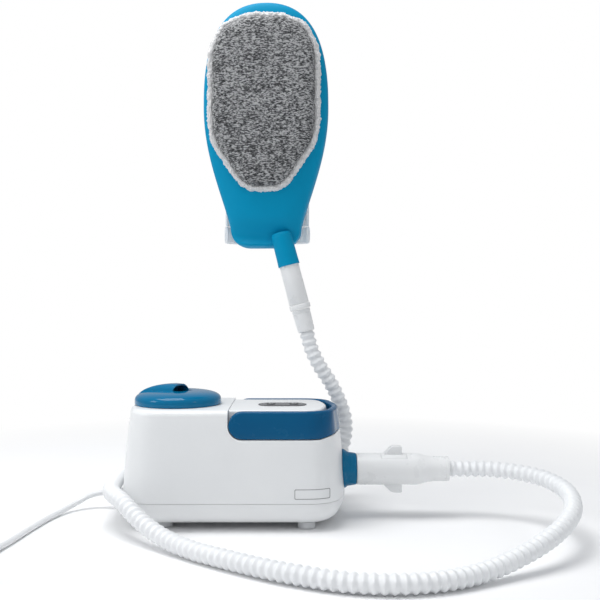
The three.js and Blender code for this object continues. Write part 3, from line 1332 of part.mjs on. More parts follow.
// Swivel tube, ring and hose cuff, down from the stub
const ringStart = SWIVEL_TUBE_LENGTH + GAP;
const cuffStart = ringStart + SWIVEL_RING_LENGTH + GAP;
const cuffEnd = cuffStart + CUFF_LENGTH;

function handsetTube() {
  const r = SWIVEL_TUBE_RADIUS;
  return onTube([[SWIVEL_TUBE_BORE, -STUB_SOCKET_DEPTH + GAP], [r - 0.5, -STUB_SOCKET_DEPTH + GAP],
    [r, -STUB_SOCKET_DEPTH + 2],
    [r, 12], [r + 0.4, SWIVEL_TUBE_LENGTH], [SWIVEL_TUBE_BORE, SWIVEL_TUBE_LENGTH],
    [SWIVEL_TUBE_BORE, -STUB_SOCKET_DEPTH + GAP]]);
}

function swivelRing() {
  const [low, high] = [ringStart, ringStart + SWIVEL_RING_LENGTH];
  const r = SWIVEL_RING_RADIUS;
  return onTube([[SWIVEL_TUBE_BORE, low], [r - 0.8, low], [r, low + 0.8], [r, high - 0.8], [r - 0.8, high],
    [SWIVEL_TUBE_BORE, high], [SWIVEL_TUBE_BORE, low]]);
}

function hoseCuff() {
  return onTube([[SWIVEL_TUBE_BORE, cuffStart], [CUFF_RADIUS, cuffStart], [CUFF_RADIUS, cuffStart + 4],
    [CUFF_END_RADIUS, cuffEnd - 2],
      [CUFF_END_RADIUS - 1, cuffEnd], [SWIVEL_TUBE_BORE, cuffEnd], [SWIVEL_TUBE_BORE, cuffStart]]);
}

// Hose: where it lies, from the connector round the front and the left end, along the back and up to the
// cuff
const toModel = (point) => point.clone().applyAxisAngle(Z_AXIS,
  degToRad(GLOVE_YAW)).add(vec(GLOVE_X, GLOVE_Y, GLOVE_Z));
const hoseTop = toModel(alongTube(cuffEnd + GAP));
const hoseUnderCuff = toModel(alongTube(cuffEnd + GAP + HOSE_STRAIGHT));
const hoseInStraight = toModel(alongTube(cuffEnd + GAP + HOSE_STRAIGHT / 2));

// A point of the route, which was drawn round a base of the size named above
function roundBase(x, y, z) {
  return vec((x * BODY_LENGTH) / ROUTE_BASE_LENGTH, (y * BODY_WIDTH) / ROUTE_BASE_WIDTH, z);
}

const hoseRoute = [
  vec(connectorEndX + GAP, 0, OUTLET_Z),
  vec(connectorEndX + GAP + HOSE_STRAIGHT / 2, 0, OUTLET_Z),
  vec(connectorEndX + GAP + HOSE_STRAIGHT, 0, OUTLET_Z),
  roundBase(274.4, -2.9, 53.5),
  roundBase(300.9, -14, 53),
  roundBase(328.5, -40.1, 51.1),
  roundBase(342.2, -76.5, 46.2),
  roundBase(337.6, -118.1, 38.9),
  roundBase(318.9, -155, 31.8),
  roundBase(292.3, -184.5, 23.8),
  roundBase(260.4, -208.3, 15.7),
  roundBase(226.3, -230, 10.1),
  roundBase(189.7, -249.4, 9.3),
  roundBase(150.9, -257.6, 9.5),
  roundBase(110.7, -252.2, 9.3),
  roundBase(72.3, -236, 9.8),
  roundBase(37.5, -214.4, 9.7),
  roundBase(5.1, -190, 9.8),
  roundBase(-26.1, -163.8, 9.6),
  roundBase(-55.1, -136.5, 12.4),
  roundBase(-82.7, -109.4, 21.2),
  roundBase(-108.7, -77.8, 34.5),
  roundBase(-126.4, -47.4, 37.7),
  roundBase(-131.8, -3.3, 38.5),
  roundBase(-132.1, 40.9, 37.1),
  roundBase(-120.5, 75.7, 33.3),
  roundBase(-96, 101.7, 26.4),
  roundBase(-60, 115.4, 19),
  roundBase(-18.9, 116.1, 12.6),
  roundBase(21.6, 110.6, 9.8),
  roundBase(65.4, 101.2, 11.5),
  roundBase(100.3, 93.8, 29),
  roundBase(121.2, 86.4, 58.5),
  roundBase(125.8, 78.6, 94.1),
  roundBase(112, 70.2, 133.8),
  roundBase(93.1, 66.9, 164.8),
  hoseUnderCuff,
  hoseInStraight,
  hoseTop,
];

// Ribbed hose: a crest and a root ring for each rib, and a smooth bore with fewer rings
function steamHose() {
  const curve = new THREE.CatmullRomCurve3(hoseRoute, false, 'centripetal');
  curve.arcLengthDivisions = 2000;
  const ribs = Math.round(curve.getLength() / RIB_PITCH);
  const shares = [0];
  for (let k = 0; k < ribs; k += 1) shares.push((k + 0.5) / ribs, (k + 1) / ribs);
  const centres = shares.map((share) => curve.getPointAt(share));
  const outer = tubeSkin(centres, shares.map((_, k) => (k % 2 === 1 ? HOSE_RADIUS : HOSE_ROOT_RADIUS)), 8);
  const boreKeep = outer.map((_, k) => k).filter((k) => k % 12 === 0 || k === outer.length - 1);
  const bore = tubeSkin(centres, centres.map(() => HOSE_BORE), 8).filter((_, k) => boreKeep.includes(k));
  console.log(`steam hose: ${curve.getLength().toFixed(0)} mm long, ${ribs} ribs`);
  return boredTube(outer, bore);
}

// Mains lead: from its strain relief down to the surface and away to the left, into its coil
const coilOuterRadius = COIL_MEAN_RADIUS + (COIL_HALF_TURNS * COIL_SPACING) / 2;
const coilStraight = LEAD_RADIUS * 2;
const reliefTipX = -bodyHalfLength(LEAD_EXIT_Z) - RELIEF_LENGTH;

const leadRoute = [
  vec(reliefTipX - GAP, LEAD_EXIT_Y, LEAD_EXIT_Z),
  vec(reliefTipX - 8, LEAD_EXIT_Y - 0.3, LEAD_EXIT_Z - 0.6),
  vec(-169, 36, 14.8),
  vec(-179, 30, 10),
  vec(-187.5, 19, 6.2),
  vec(-194, 4, 4.2),
  vec(-199, -14, 3.6),
  vec(-203, -36, 3.5),
  vec(-206.5, -62, 3.5),
  vec(-209.5, -88, 3.6),
  vec(-212.5, -114, 3.8),
  vec(-215.5, -138, 4.2),
  vec(COIL_X + coilOuterRadius, COIL_Y + coilStraight + 12, COIL_Z),
  vec(COIL_X + coilOuterRadius, COIL_Y + coilStraight + GAP, COIL_Z),
];

function leadTube(points, steps) {
  const section = new THREE.Shape(new THREE.Path().absarc(0, 0, LEAD_RADIUS, 0,
    Math.PI * 2).getSpacedPoints(8).slice(0, 8));
  const extrudePath = new THREE.CatmullRomCurve3(points, false, 'centripetal');
  return tidy(new THREE.ExtrudeGeometry(section, { steps, extrudePath, bevelEnabled: false }));
}

// The coil spirals in on the lower layer, climbs in the half turn where it reverses, and spirals out on
// the upper one
function coilCentres() {
  const centres = [vec(COIL_X + coilOuterRadius, COIL_Y + coilStraight, COIL_Z)];
  const steps = 24;
  const turns = COIL_HALF_TURNS * 2;
  for (let k = 0; k <= turns * steps; k += 1) {
    const turn = k / steps;
    const radius = coilOuterRadius - COIL_SPACING * (COIL_HALF_TURNS - Math.abs(turn - COIL_HALF_TURNS));
    const climb = clamp((turn - COIL_HALF_TURNS + 0.25) / 0.5, 0, 1);
    const angle = -turn * Math.PI * 2;
    const height = COIL_Z + COIL_SPACING * climb * climb * (3 - 2 * climb);
    centres.push(vec(COIL_X + radius * Math.cos(angle), COIL_Y + radius * Math.sin(angle), height));
  }
  centres.push(vec(COIL_X + coilOuterRadius, COIL_Y - coilStraight, COIL_Z + COIL_SPACING));
  return centres;
}

function leastSelfGap(centres, radius) {
  const apart = 8;
  let least = Infinity;
  centres.forEach((a, i) => centres.slice(i + apart).forEach((b) => { least = Math.min(least,
    a.distanceTo(b)); }));
  return least - radius * 2;
}

function leadCoil() {
  const centres = coilCentres();
  const length = centres.slice(1).reduce((sum, point, k) => sum + point.distanceTo(centres[k]), 0);
  const gap = leastSelfGap(centres, LEAD_RADIUS);
  console.log(`lead coil: ${length.toFixed(0)} mm long, least gap to itself ${gap.toFixed(2)} mm`);
  return skin(tubeSkin(centres, centres.map(() => LEAD_RADIUS), 6));
}

const tailStart = vec(COIL_X + coilOuterRadius, COIL_Y - coilStraight - GAP, COIL_Z + COIL_SPACING);
const plugEntryY = tailStart.y - TAIL_LENGTH;
const plugCentreY = plugEntryY - GAP - PLUG_NECK - PLUG_RADIUS;

function leadTail() {
  const end = vec(tailStart.x, plugEntryY, tailStart.z);
  return leadTube([tailStart, tailStart.clone().lerp(end, 0.5), end], 2);
}

function leadTie() {
  const inner = coilOuterRadius - COIL_SPACING * COIL_HALF_TURNS - LEAD_RADIUS - TIE_SLACK;
  const outer = coilOuterRadius + LEAD_RADIUS + TIE_SLACK;
  const low = COIL_Z - LEAD_RADIUS - TIE_SLACK;
  const high = COIL_Z + COIL_SPACING + LEAD_RADIUS + TIE_SLACK;
  const half = TIE_WIDTH / 2;
  const t = TIE_THICKNESS;
  const hole = box(-outer, -inner, -half - 1, half + 1, low, high);
  const band = prismY(roundedRect(outer - inner + t * 2, high - low + t * 2, t * 2), -half, half, 3)
    .translate(-(inner + outer) / 2, 0, (low + high) / 2);
  return cut(band, hole).translate(COIL_X, COIL_Y, 0);
}

function strainRelief() {
  const root = bodyHalfLength(LEAD_EXIT_Z);
  const flange = disc(RELIEF_ROOT_RADIUS + 2.5, root - 16, root, MIDDLE);
  const sleeve = revolve([[0, root - 16], [RELIEF_ROOT_RADIUS, root - 16], [RELIEF_ROOT_RADIUS, root + 1],
    [RELIEF_TIP_RADIUS, root + RELIEF_LENGTH], [0, root + RELIEF_LENGTH]]);
  const place = (piece) => alongX(piece).rotateY(Math.PI).translate(0, LEAD_EXIT_Y, LEAD_EXIT_Z);
  return join(place(sleeve), common(place(flange), trayRoom(GAP)));
}

function mainsPlug() {
  const body = revolve([[0, GAP], [PLUG_RADIUS - 3, GAP], [PLUG_RADIUS - 0.8, 2.5], [PLUG_RADIUS, 7],
    [PLUG_RADIUS, PLUG_HEIGHT - 2],
    [PLUG_RADIUS - 1, PLUG_HEIGHT], [0, PLUG_HEIGHT]], MIDDLE);
  const neck = alongY(revolve([[0, 0], [8, 0], [7, PLUG_RADIUS + 4],
    [LEAD_RADIUS + 1, PLUG_RADIUS + PLUG_NECK], [0, PLUG_RADIUS + PLUG_NECK]], 12))
    .translate(0, 0, tailStart.z);
  const pins = [-1, 1].map((side) => revolve([[0, PLUG_HEIGHT - 1], [PLUG_PIN_RADIUS, PLUG_HEIGHT - 1],
    [PLUG_PIN_RADIUS, PLUG_HEIGHT + PLUG_PIN_LENGTH - 1.5], [0, PLUG_HEIGHT + PLUG_PIN_LENGTH]], COARSE)
    .translate(side * 9.5, 0, 0));
  return join(body, neck, ...pins).translate(tailStart.x, plugCentreY, 0);
}

// Assembly
add(base, 'housing_shell', housingShell(), WHITE);
add(base, 'base_tray', baseTray(), WHITE);
for (const [corner, [x, y]] of Object.entries(footPlaces())) add(base, `foot_${corner}`,
  foot().translate(x, y, 0), RUBBER);
bossPlaces().forEach(([x, y], k) => add(base, `tray_screw_${k + 1}`, trayScrew().translate(x, y, 0),
  STEEL));
add(base, 'carry_handle', carryHandle(), BLUE);
add(base, 'handle_pivot_front', handlePivot(-1), STEEL);
add(base, 'handle_pivot_rear', handlePivot(1), STEEL);
add(base, 'control_deck', controlDeck(), WHITE);
add(base, 'control_panel', controlPanel(), DARK);
add(base, 'steam_button', pushButton(buttonXs[0]), DARK);
add(base, 'power_button', pushButton(buttonXs[1]), DARK);
add(base, 'steam_lamp', panelLens(buttonXs[0]), LAMP);
add(base, 'power_lamp', panelLens(buttonXs[1]), LAMP);
add(base, 'control_board', controlBoard(), GREEN);
add(base, 'water_tank', waterTank(), CLEAR);
add(base, 'tank_cap', tankCap(), CAP_BLUE);
add(base, 'cap_plug', capPlug(), WHITE);
add(base, 'cap_gasket', capGasket(), RUBBER);
add(base, 'water_pump', waterPump(), DARK);
add(base, 'pump_inlet_tube', pumpInletTube(), CLEAR);
add(base, 'pump_outlet_tube', pumpOutletTube(), CLEAR);
add(base, 'boiler_body', boilerBody(), CAST);
add(base, 'heating_element', heatingElement(), STEEL);
add(base, 'boiler_bracket', boilerBracket(), STEEL);
add(base, 'thermostat', thermostat(), STEEL);
add(base, 'thermal_fuse', thermalFuse(), WHITE);
add(base, 'steam_outlet_pipe', steamPipe(), BRASS);
add(base, 'outlet_socket', outletSocket(), DARK);
add(base, 'outlet_collar', outletCollar(), BLUE);
add(base, 'hose_connector', hoseConnector(), WHITE);
add(base, 'latch_upper', latch(), WHITE);
add(base, 'latch_lower', latch().rotateX(Math.PI).translate(0, 0, OUTLET_Z * 2), WHITE);
add(base, 'connector_nozzle', connectorNozzle(), WHITE);
add(base, 'connector_seal', connectorSeal(), RUBBER);
add(base, 'steam_hose', steamHose(), WHITE);
add(base, 'cord_strain_relief', strainRelief(), WHITE);
add(base, 'mains_cord', leadTube(leadRoute, 18), WHITE);
add(base, 'cord_coil', leadCoil(), WHITE);
add(base, 'cord_tail', leadTail(), WHITE);
add(base, 'cord_tie', leadTie(), WHITE);
add(base, 'mains_plug', mainsPlug(), WHITE);

glove.position.set(GLOVE_X, GLOVE_Y, GLOVE_Z);
glove.rotation.z = degToRad(GLOVE_YAW);
add(glove, 'hose_cuff', hoseCuff(), WHITE);
add(glove, 'swivel_ring', swivelRing(), WHITE);
add(glove, 'handset_tube', handsetTube(), WHITE);
add(glove, 'glove_shell', gloveShell(), GLOVE_BLUE);
add(glove, 'steam_plate', steamPlate(), GLOVE_BLUE);
add(glove, 'steam_chamber', steamChamber(), DARK);
add(glove, 'glove_steam_pipe', gloveSteamPipe(), CLEAR);
add(glove, 'glove_back_plate', gloveBackPlate(), WHITE);
add(glove, 'hand_pocket', handPocket(), FLEECE);
add(glove, 'wrist_cuff', wristCuff(), FLEECE);
add(glove, 'steam_pad', glovePad(), PAD_GREY);
add(glove, 'pad_binding', padBinding(), FLEECE);

// The set's origin lies under the middle of its own box, with the hose and the lead left aside
const loose = ['steam_hose', 'mains_cord', 'cord_coil', 'cord_tail', 'cord_tie', 'mains_plug'];
model.updateMatrixWorld(true);
const extent = new THREE.Box3();
for (const mesh of [...base.children, ...glove.children]) {
  if (!loose.includes(mesh.name)) extent.expandByObject(mesh, true);
}
const middle = extent.getCenter(vec());
steamSet.position.set(-middle.x, -middle.y, -extent.min.z);
console.log(`origin at ${middle.x.toFixed(3)}, ${middle.y.toFixed(3)} mm from the middle of the base`);

export default model;
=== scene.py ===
"""Steam glove set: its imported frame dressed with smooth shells, ribs, pile and finishes for one portrait.

Sizes in the classes are millimetres on the base's own drawing: X along the base, Y to the back, Z up, and the
middle of the base at zero. The glove has a drawing of its own, whose zero is the middle of its lower edge.
"""

import json
import logging
import math
from dataclasses import dataclass, field
from enum import Enum
from typing import Callable, Mapping, Sequence

import bmesh
import bpy
import numpy as np
from mathutils import Matrix, Vector, noise

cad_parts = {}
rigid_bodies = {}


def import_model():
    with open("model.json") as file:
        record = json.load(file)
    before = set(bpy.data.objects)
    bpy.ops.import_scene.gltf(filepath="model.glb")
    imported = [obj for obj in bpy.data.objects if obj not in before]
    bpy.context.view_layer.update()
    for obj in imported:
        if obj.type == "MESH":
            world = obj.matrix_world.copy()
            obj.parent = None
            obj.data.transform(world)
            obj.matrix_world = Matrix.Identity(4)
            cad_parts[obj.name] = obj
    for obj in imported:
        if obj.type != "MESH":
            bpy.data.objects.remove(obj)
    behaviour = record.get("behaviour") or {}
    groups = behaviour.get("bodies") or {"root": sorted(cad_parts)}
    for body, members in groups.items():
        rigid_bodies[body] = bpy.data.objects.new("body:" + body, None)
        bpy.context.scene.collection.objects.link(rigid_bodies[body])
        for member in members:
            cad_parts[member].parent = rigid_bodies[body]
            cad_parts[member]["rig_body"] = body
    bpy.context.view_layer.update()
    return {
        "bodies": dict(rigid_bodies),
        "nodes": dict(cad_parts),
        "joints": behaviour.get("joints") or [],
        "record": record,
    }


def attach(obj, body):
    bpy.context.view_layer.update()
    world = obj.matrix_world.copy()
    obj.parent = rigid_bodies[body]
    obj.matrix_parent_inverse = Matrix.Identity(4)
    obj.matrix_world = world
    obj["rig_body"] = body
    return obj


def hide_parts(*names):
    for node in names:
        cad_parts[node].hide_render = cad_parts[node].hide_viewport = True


LOG = logging.getLogger("steam_glove_set")
MM = 0.001
BASE_MIDDLE = Vector((42.5, 29.56, 0.0))
GLOVE_PLACE = Vector((31.0, 83.0, 301.0))
GLOVE_YAW = math.radians(-4.0)
GAP = 0.3

Colour = tuple[float, float, float]
Point = tuple[float, float, float]
Profile = Sequence[tuple[float, float]]


def spot(x: float, y: float, z: float) -> Vector:
    """A point of the base's drawing, in metres in the frame."""
    return (Vector((x, y, z)) - BASE_MIDDLE) * MM


def glove_spot(x: float, y: float, z: float) -> Vector:
    """A point of the glove's drawing, in metres in the frame."""
    turned = Matrix.Rotation(GLOVE_YAW, 3, "Z") @ Vector((x, y, z)) + GLOVE_PLACE
    return spot(*turned)


def clamp(value: float, low: float = 0.0, high: float = 1.0) -> float:
    """The value, kept between two limits."""
    return max(low, min(high, value))


def lerp(start: float, end: float, share: float) -> float:
    """The number a share of the way from one to another."""
    return start + (end - start) * share


def ease(share: float) -> float:
    """A smooth step from zero to one."""
    kept = clamp(share)
    return kept * kept * (3 - 2 * kept)


def signed(value: float, power: float) -> float:
    """A number raised to a power, with its sign kept."""
    return math.copysign(abs(value) ** power, value)


def evenly(line: np.ndarray, count: int, closed: bool = True) -> np.ndarray:
    """Evenly spaced points along a line of points; a closed line ends with its first point.

    Args:
        line: The points as rows.
        count: How many points are wanted.
        closed: Whether the line's last point is left out of them.

    Returns:
        The points as rows.
    """
    reach = np.concatenate([[0.0], np.cumsum(np.linalg.norm(np.diff(line, axis=0), axis=1))])
    marks = np.linspace(0, reach[-1], count, endpoint=not closed)
    return np.stack([np.interp(marks, reach, line[:, k]) for k in range(line.shape[1])], 1)


def quarters(*corners: tuple[float, float, float, float]) -> list[tuple[float, float]]:
    """Points round quarter circles, each given by its middle, its radius and the degrees that it starts at."""
    points = []
    for x, z, radius, start in corners:
        for step in range(7):
            angle = math.radians(start + step * 15)
            points.append((x + radius * math.cos(angle), z + radius * math.sin(angle)))
    return points


def outward(line: np.ndarray, span: int = 1) -> np.ndarray:
    """Unit normals of a closed line that runs anticlockwise, each from the points a span away on both sides."""
    along = np.roll(line, -span, 0) - np.roll(line, span, 0)
    normals = np.stack([along[:, 1], -along[:, 0]], 1)
    return normals / np.linalg.norm(normals, axis=1, keepdims=True)


class Slot(Enum):
    """Material slots of the record."""

    WHITE = "white_plastic"
    BLUE = "blue_plastic"
    CAP = "cap_plastic"
    GLOVE = "glove_plastic"
    DARK = "dark_plastic"
    RUBBER = "black_rubber"
    STEEL = "steel"
    LENS = "lamp_lens"
    PAD = "pad_cloth"
    FLEECE = "white_fleece"
    TIE = "tie_fabric"


class Sock:
    """An output of a shader node on which Python's own signs add Math nodes."""

    def __init__(self, graph: "Graph", socket: bpy.types.NodeSocket) -> None:
        """Keeps the socket and the graph that it belongs to."""
        self.graph = graph
        self.socket = socket

    def _math(self, operation: str, *values: "Sock | float") -> "Sock":
        """One Math node on this value and others."""
        return self.graph.node("ShaderNodeMath", {"operation": operation}, dict(enumerate(values)))

    def __add__(self, other: "Sock | float") -> "Sock":
        """Sum."""
        return self._math("ADD", self, other)

    __radd__ = __add__

    def __mul__(self, other: "Sock | float") -> "Sock":
        """Product."""
        return self._math("MULTIPLY", self, other)

    __rmul__ = __mul__

    def __sub__(self, other: "Sock | float") -> "Sock":
        """Difference."""
        return self._math("SUBTRACT", self, other)

    def __rsub__(self, other: "Sock | float") -> "Sock":
        """Difference from a number."""
        return self._math("SUBTRACT", other, self)

    def __abs__(self) -> "Sock":
        """Size without its sign."""
        return self._math("ABSOLUTE", self)

    def __lt__(self, other: "Sock | float") -> "Sock":
        """One where this is less, else zero."""
        return self._math("LESS_THAN", self, other)

    def __gt__(self, other: "Sock | float") -> "Sock":
        """One where this is more, else zero."""
        return self._math("GREATER_THAN", self, other)

    def __pow__(self, other: float) -> "Sock":
        """Power."""
        return self._math("POWER", self, other)

    def over(self, low: float, high: float, out_low: float = 0.0, out_high: float = 1.0) -> "Sock":
        """The value spread from one range to another, and held at its ends.

        Args:
            low: Where the range starts.
            high: Where it ends.
            out_low: What the start becomes.
            out_high: What the end becomes.

        Returns:
            The spread value.
        """
        settings = {"clamp": True}
        sockets = {0: self, 1: low, 2: high, 3: out_low, 4: out_high}
        return self.graph.node("ShaderNodeMapRange", settings, sockets)


class Graph:
    """One material's nodes, from its coordinates to its output."""

    def __init__(self, name: str) -> None:
        """Makes an empty material of that name."""
        self.material = bpy.data.materials.new(name)
        self.material.use_nodes = True
        self.tree = self.material.node_tree
        self.tree.nodes.clear()

    def node(self, kind: str, settings: Mapping[str, object] | None = None,
             sockets: Mapping[int | str, object] | None = None, out: int | str = 0) -> Sock:
        """Adds a node, with its settings first and then its sockets.

        Args:
            kind: The node's type.
            settings: Its properties, and the stops of a ramp.
            sockets: Values or links of its inputs, by place or name.
            out: The output that is wanted.

        Returns:
            That output.
        """
        made = self.tree.nodes.new(kind)
        for key, value in (settings or {}).items():
            if key == "stops":
                self._stops(made.color_ramp, value)
            else:
                setattr(made, key, value)
        for key, value in (sockets or {}).items():
            if isinstance(value, Sock):
                self.tree.links.new(value.socket, made.inputs[key])
            else:
                made.inputs[key].default_value = value
        return Sock(self, made.outputs[out])

    @staticmethod
    def _stops(ramp: bpy.types.ColorRamp, stops: Sequence[tuple[float, Colour]]) -> None:
        """Gives a colour ramp its stops."""
        while len(ramp.elements) < len(stops):
            ramp.elements.new(1.0)
        for element, (place, colour) in zip(ramp.elements, stops):
            element.position = place
            element.color = (*colour, 1.0)

    def place(self, scale: Point = (1, 1, 1), shift: Point = (0, 0, 0)) -> Sock:
        """Object coordinates through a Mapping node.

        Args:
            scale: Scale of the pattern on each axis.
            shift: Its shift in metres.

        Returns:
            The mapped coordinates.
        """
        source = self.node("ShaderNodeTexCoord", out="Object")
        sockets = {"Vector": source, "Location": shift, "Scale": scale}
        return self.node("ShaderNodeMapping", {"vector_type": "POINT"}, sockets)

    def axes(self, vector: Sock) -> tuple[Sock, Sock, Sock]:
        """The three parts of a vector."""
        split = self.node("ShaderNodeSeparateXYZ", None, {0: vector})
        outputs = split.socket.node.outputs
        return tuple(Sock(self, outputs[k]) for k in range(3))

    def noise(self, vector: Sock, scale: float, detail: float = 2.0, rough: float = 0.5) -> Sock:
        """Noise of about the given number of cells to the metre."""
        sockets = {"Vector": vector, "Scale": scale, "Detail": detail, "Roughness": rough}
        return self.node("ShaderNodeTexNoise", None, sockets)

    def cells(self, vector: Sock, scale: float) -> Sock:
        """Distance inside a pattern of cells."""
        return self.node("ShaderNodeTexVoronoi", {"feature": "F1"}, {"Vector": vector, "Scale": scale})

    def blend(self, share: "Sock | float", first: "Sock | Colour", second: "Sock | Colour") -> Sock:
        """A colour between two others."""
        sockets = {0: share, 6: self._colour(first), 7: self._colour(second)}
        return self.node("ShaderNodeMix", {"data_type": "RGBA"}, sockets, out=2)

    @staticmethod
    def _colour(value: "Sock | Colour") -> object:
        """A colour with its fourth number, or the link as it is."""
        return value if isinstance(value, Sock) else (*value, 1.0)

    def bump(self, height: Sock, distance: float, strength: float = 1.0) -> Sock:
        """A normal from a height, with the height's reach in metres."""
        return self.node("ShaderNodeBump", None, {"Strength": strength, "Distance": distance, "Height": height})

    def close(self, sockets: Mapping[str, object]) -> bpy.types.Material:
        """Adds the surface shader and the output.

        Args:
            sockets: Values and links of the Principled shader.

        Returns:
            The finished material.
        """
        shader = self.node("ShaderNodeBsdfPrincipled", None, sockets)
        self.output(shader)
        return self.material

    def output(self, shader: Sock) -> None:
        """Links a shader to the material's output."""
        made = self.tree.nodes.new("ShaderNodeOutputMaterial")
        self.tree.links.new(shader.socket, made.inputs["Surface"])


@dataclass(frozen=True)
class Moulded:
    """Moulded plastic or rubber: a body colour with faint clouding, a fine grain and hand marks in its gloss.

    Attributes:
        name: The material's name.
        colour: Its colour.
        shade: The colour that it drifts to.
        roughness: Middle of its roughness.
        drift: How far the colour drifts, from none to all the way.
        smudge: How far the roughness varies.
        grain: Height of the grain in metres.
        grain_scale: Grains to the metre.
        coat: Clear coat over it.
        gloss: Its specular level.
    """

    name: str
    colour: Colour
    shade: Colour
    roughness: float
    drift: float = 0.5
    smudge: float = 0.06
    grain: float = 0.00002
    grain_scale: float = 2600.0
    coat: float = 0.0
    gloss: float = 0.5

    def material(self) -> bpy.types.Material:
        """Builds the material."""
        graph = Graph(self.name)
        place = graph.place()
        cloud = graph.noise(place, 14.0, 3.0).over(0.35, 0.7, 0.0, self.drift)
        marks = graph.noise(place, 55.0, 4.0, 0.62)
        fleck = graph.noise(place, self.grain_scale, 1.0)
        rough = marks.over(0.3, 0.7, self.roughness - self.smudge, self.roughness + self.smudge)
        return graph.close({
            "Base Color": graph.blend(cloud, self.colour, self.shade),
            "Roughness": rough,
            "Specular IOR Level": self.gloss,
            "Coat Weight": self.coat,
            "Coat Roughness": 0.04,
            "Normal": graph.bump(fleck, self.grain),
        })


@dataclass(frozen=True)
class Metal:
    """Bare metal with brushed or cast grain and a little tarnish."""

    name: str
    colour: Colour
    tarnish: Colour
    roughness: float
    metallic: float = 1.0
    cast: bool = False

    def material(self) -> bpy.types.Material:
        """Builds the material."""
        graph = Graph(self.name)
        stretch = (1, 1, 1) if self.cast else (0.06, 1, 1)
        grain = graph.noise(graph.place(stretch), 900.0 if self.cast else 2400.0, 3.0)
        patch = graph.noise(graph.place(), 70.0, 4.0).over(0.45, 0.75, 0.0, 0.6)
        return graph.close({
            "Base Color": graph.blend(patch, self.colour, self.tarnish),
            "Metallic": self.metallic,
            "Roughness": grain.over(0.3, 0.7, self.roughness - 0.08, self.roughness + 0.1),
            "Normal": graph.bump(grain, 0.00008 if self.cast else 0.00002),
        })


@dataclass(frozen=True)
class Cloth:
    """Woven or knitted cloth, drawn on the object's own coordinates; its glow is painted light, a faint white emission
    that brightens the cloth where it lies in shade.
    """

    name: str
    colour: Colour
    shade: Colour
    pitch: float = 0.0012
    roughness: float = 0.92
    glow: float = 0.0

    def material(self) -> bpy.types.Material:
        """Builds the material."""
        graph = Graph(self.name)
        thread = 1.0 / self.pitch
        weave = graph.cells(graph.place((1.0, 1.0, 0.6)), thread)
        fuzz = graph.noise(graph.place(), thread * 3, 3.0)
        height = weave.over(0.1, 0.7, 1.0, 0.0) * 0.7 + fuzz * 0.3
        cloud = graph.noise(graph.place(), 30.0, 3.0)
        share = height.over(0.2, 0.8, 1.0, 0.0) * 0.6 + cloud * 0.3
        # Painted shade in part: the colour moves to the shade colour in the weave's low parts between the threads; the
        # cloud adds random tone.
        return graph.close({
            "Base Color": graph.blend(share, self.colour, self.shade),
            "Roughness": self.roughness,
            "Sheen Weight": 0.3,
            # Painted light: the glow is a white emission that brightens the cloth, though the cloth is no lamp.
            "Emission Strength": self.glow,
            "Normal": graph.bump(height, self.pitch * 0.5),
        })


@dataclass(frozen=True)
class LoopPile:
    """Mottled grey loop pile: dark and pale loops in short level rows, with painted shade between the loops."""

    name: str = "grey_loop_pile"
    dark: Colour = (0.024, 0.025, 0.027)
    middle: Colour = (0.112, 0.115, 0.120)
    pale: Colour = (0.42, 0.425, 0.43)
    loops: float = 620.0

    def material(self) -> bpy.types.Material:
        """Builds the material."""
        graph = Graph(self.name)
        wide = graph.place((0.55, 1.0, 1.35))
        warp = graph.noise(wide, 260.0, 2.0)
        loops = graph.cells(wide, self.loops)
        mottle = graph.noise(wide, 450.0, 3.0, 0.75)
        patch = graph.noise(graph.place(), 40.0, 2.0)
        # Painted shade in part: the tone is lighter on the loops' tops and darker between them, from the same cells as
        # the height; the mottle, warp and patch are the yarn's own random tone.
        light = mottle * 0.75 + (1 - loops) * 0.2 + warp * 0.2 + patch * 0.12
        height = (1 - loops) * 0.6 + mottle * 0.4
        return graph.close({
            "Base Color": self._tone(graph, light),
            "Roughness": 0.95,
            "Sheen Weight": 0.1,
            "Normal": graph.bump(height, 0.0012, 0.8),
        })

    def _tone(self, graph: Graph, light: Sock) -> Sock:
        """The pile's three tones along a ramp."""
        stops = [(0.535, self.dark), (0.615, self.middle), (0.71, self.pale)]
        return graph.node("ShaderNodeValToRGB", {"stops": stops}, {0: light}, out="Color")


@dataclass(frozen=True)
class FacedCap:
    """Dark button cap with a pale sign inlaid in its face.

    Attributes:
        name: The material's name.
        centre: The button's centre on the base's drawing.
        sign: Which sign it carries.
    """

    name: str
    centre: tuple[float, float]
    sign: str
    dark: Colour = (0.075, 0.077, 0.082)
    pale: Colour = (0.82, 0.83, 0.84)

    def material(self) -> bpy.types.Material:
        """Builds the material."""
        graph = Graph(self.name)
        middle = spot(self.centre[0], self.centre[1], 0)
        shifted = graph.place(shift=(-middle.x, -middle.y, 0))
        x, y, z = graph.axes(shifted)
        x, y = x * 1000, y * 1000
        mark = self._power(x, y) if self.sign == "power" else self._steam(x, y)
        top = z > 0.1247
        grain = graph.noise(graph.place(), 3000.0, 1.0)
        return graph.close({
            "Base Color": graph.blend(mark * top, self.dark, self.pale),
            "Roughness": graph.noise(graph.place(), 120.0).over(0.3, 0.7, 0.24, 0.36),
            "Normal": graph.bump(grain, 0.00001),
        })

    @staticmethod
    def _power(x: Sock, y: Sock) -> Sock:
        """A ring open at the back with a bar in the opening."""
        reach = (x * x + y * y) ** 0.5
        ring = (abs(reach - 2.3) < 0.35) * (1 - (abs(x) < 0.9) * (y > 0))
        bar = (abs(x) < 0.33) * (y > 0.4) * (y < 3.0)
        return (ring + bar).over(0, 1)

    @staticmethod
    def _steam(x: Sock, y: Sock) -> Sock:
        """Three wavy lines side by side."""
        wave = x.graph.node("ShaderNodeMath", {"operation": "SINE"}, {0: y * 2.2}) * 0.35
        lines = [abs(x - place - wave) < 0.3 for place in (-1.7, 0.0, 1.7)]
        return (lines[0] + lines[1] + lines[2]).over(0, 1) * (abs(y) < 2.5)


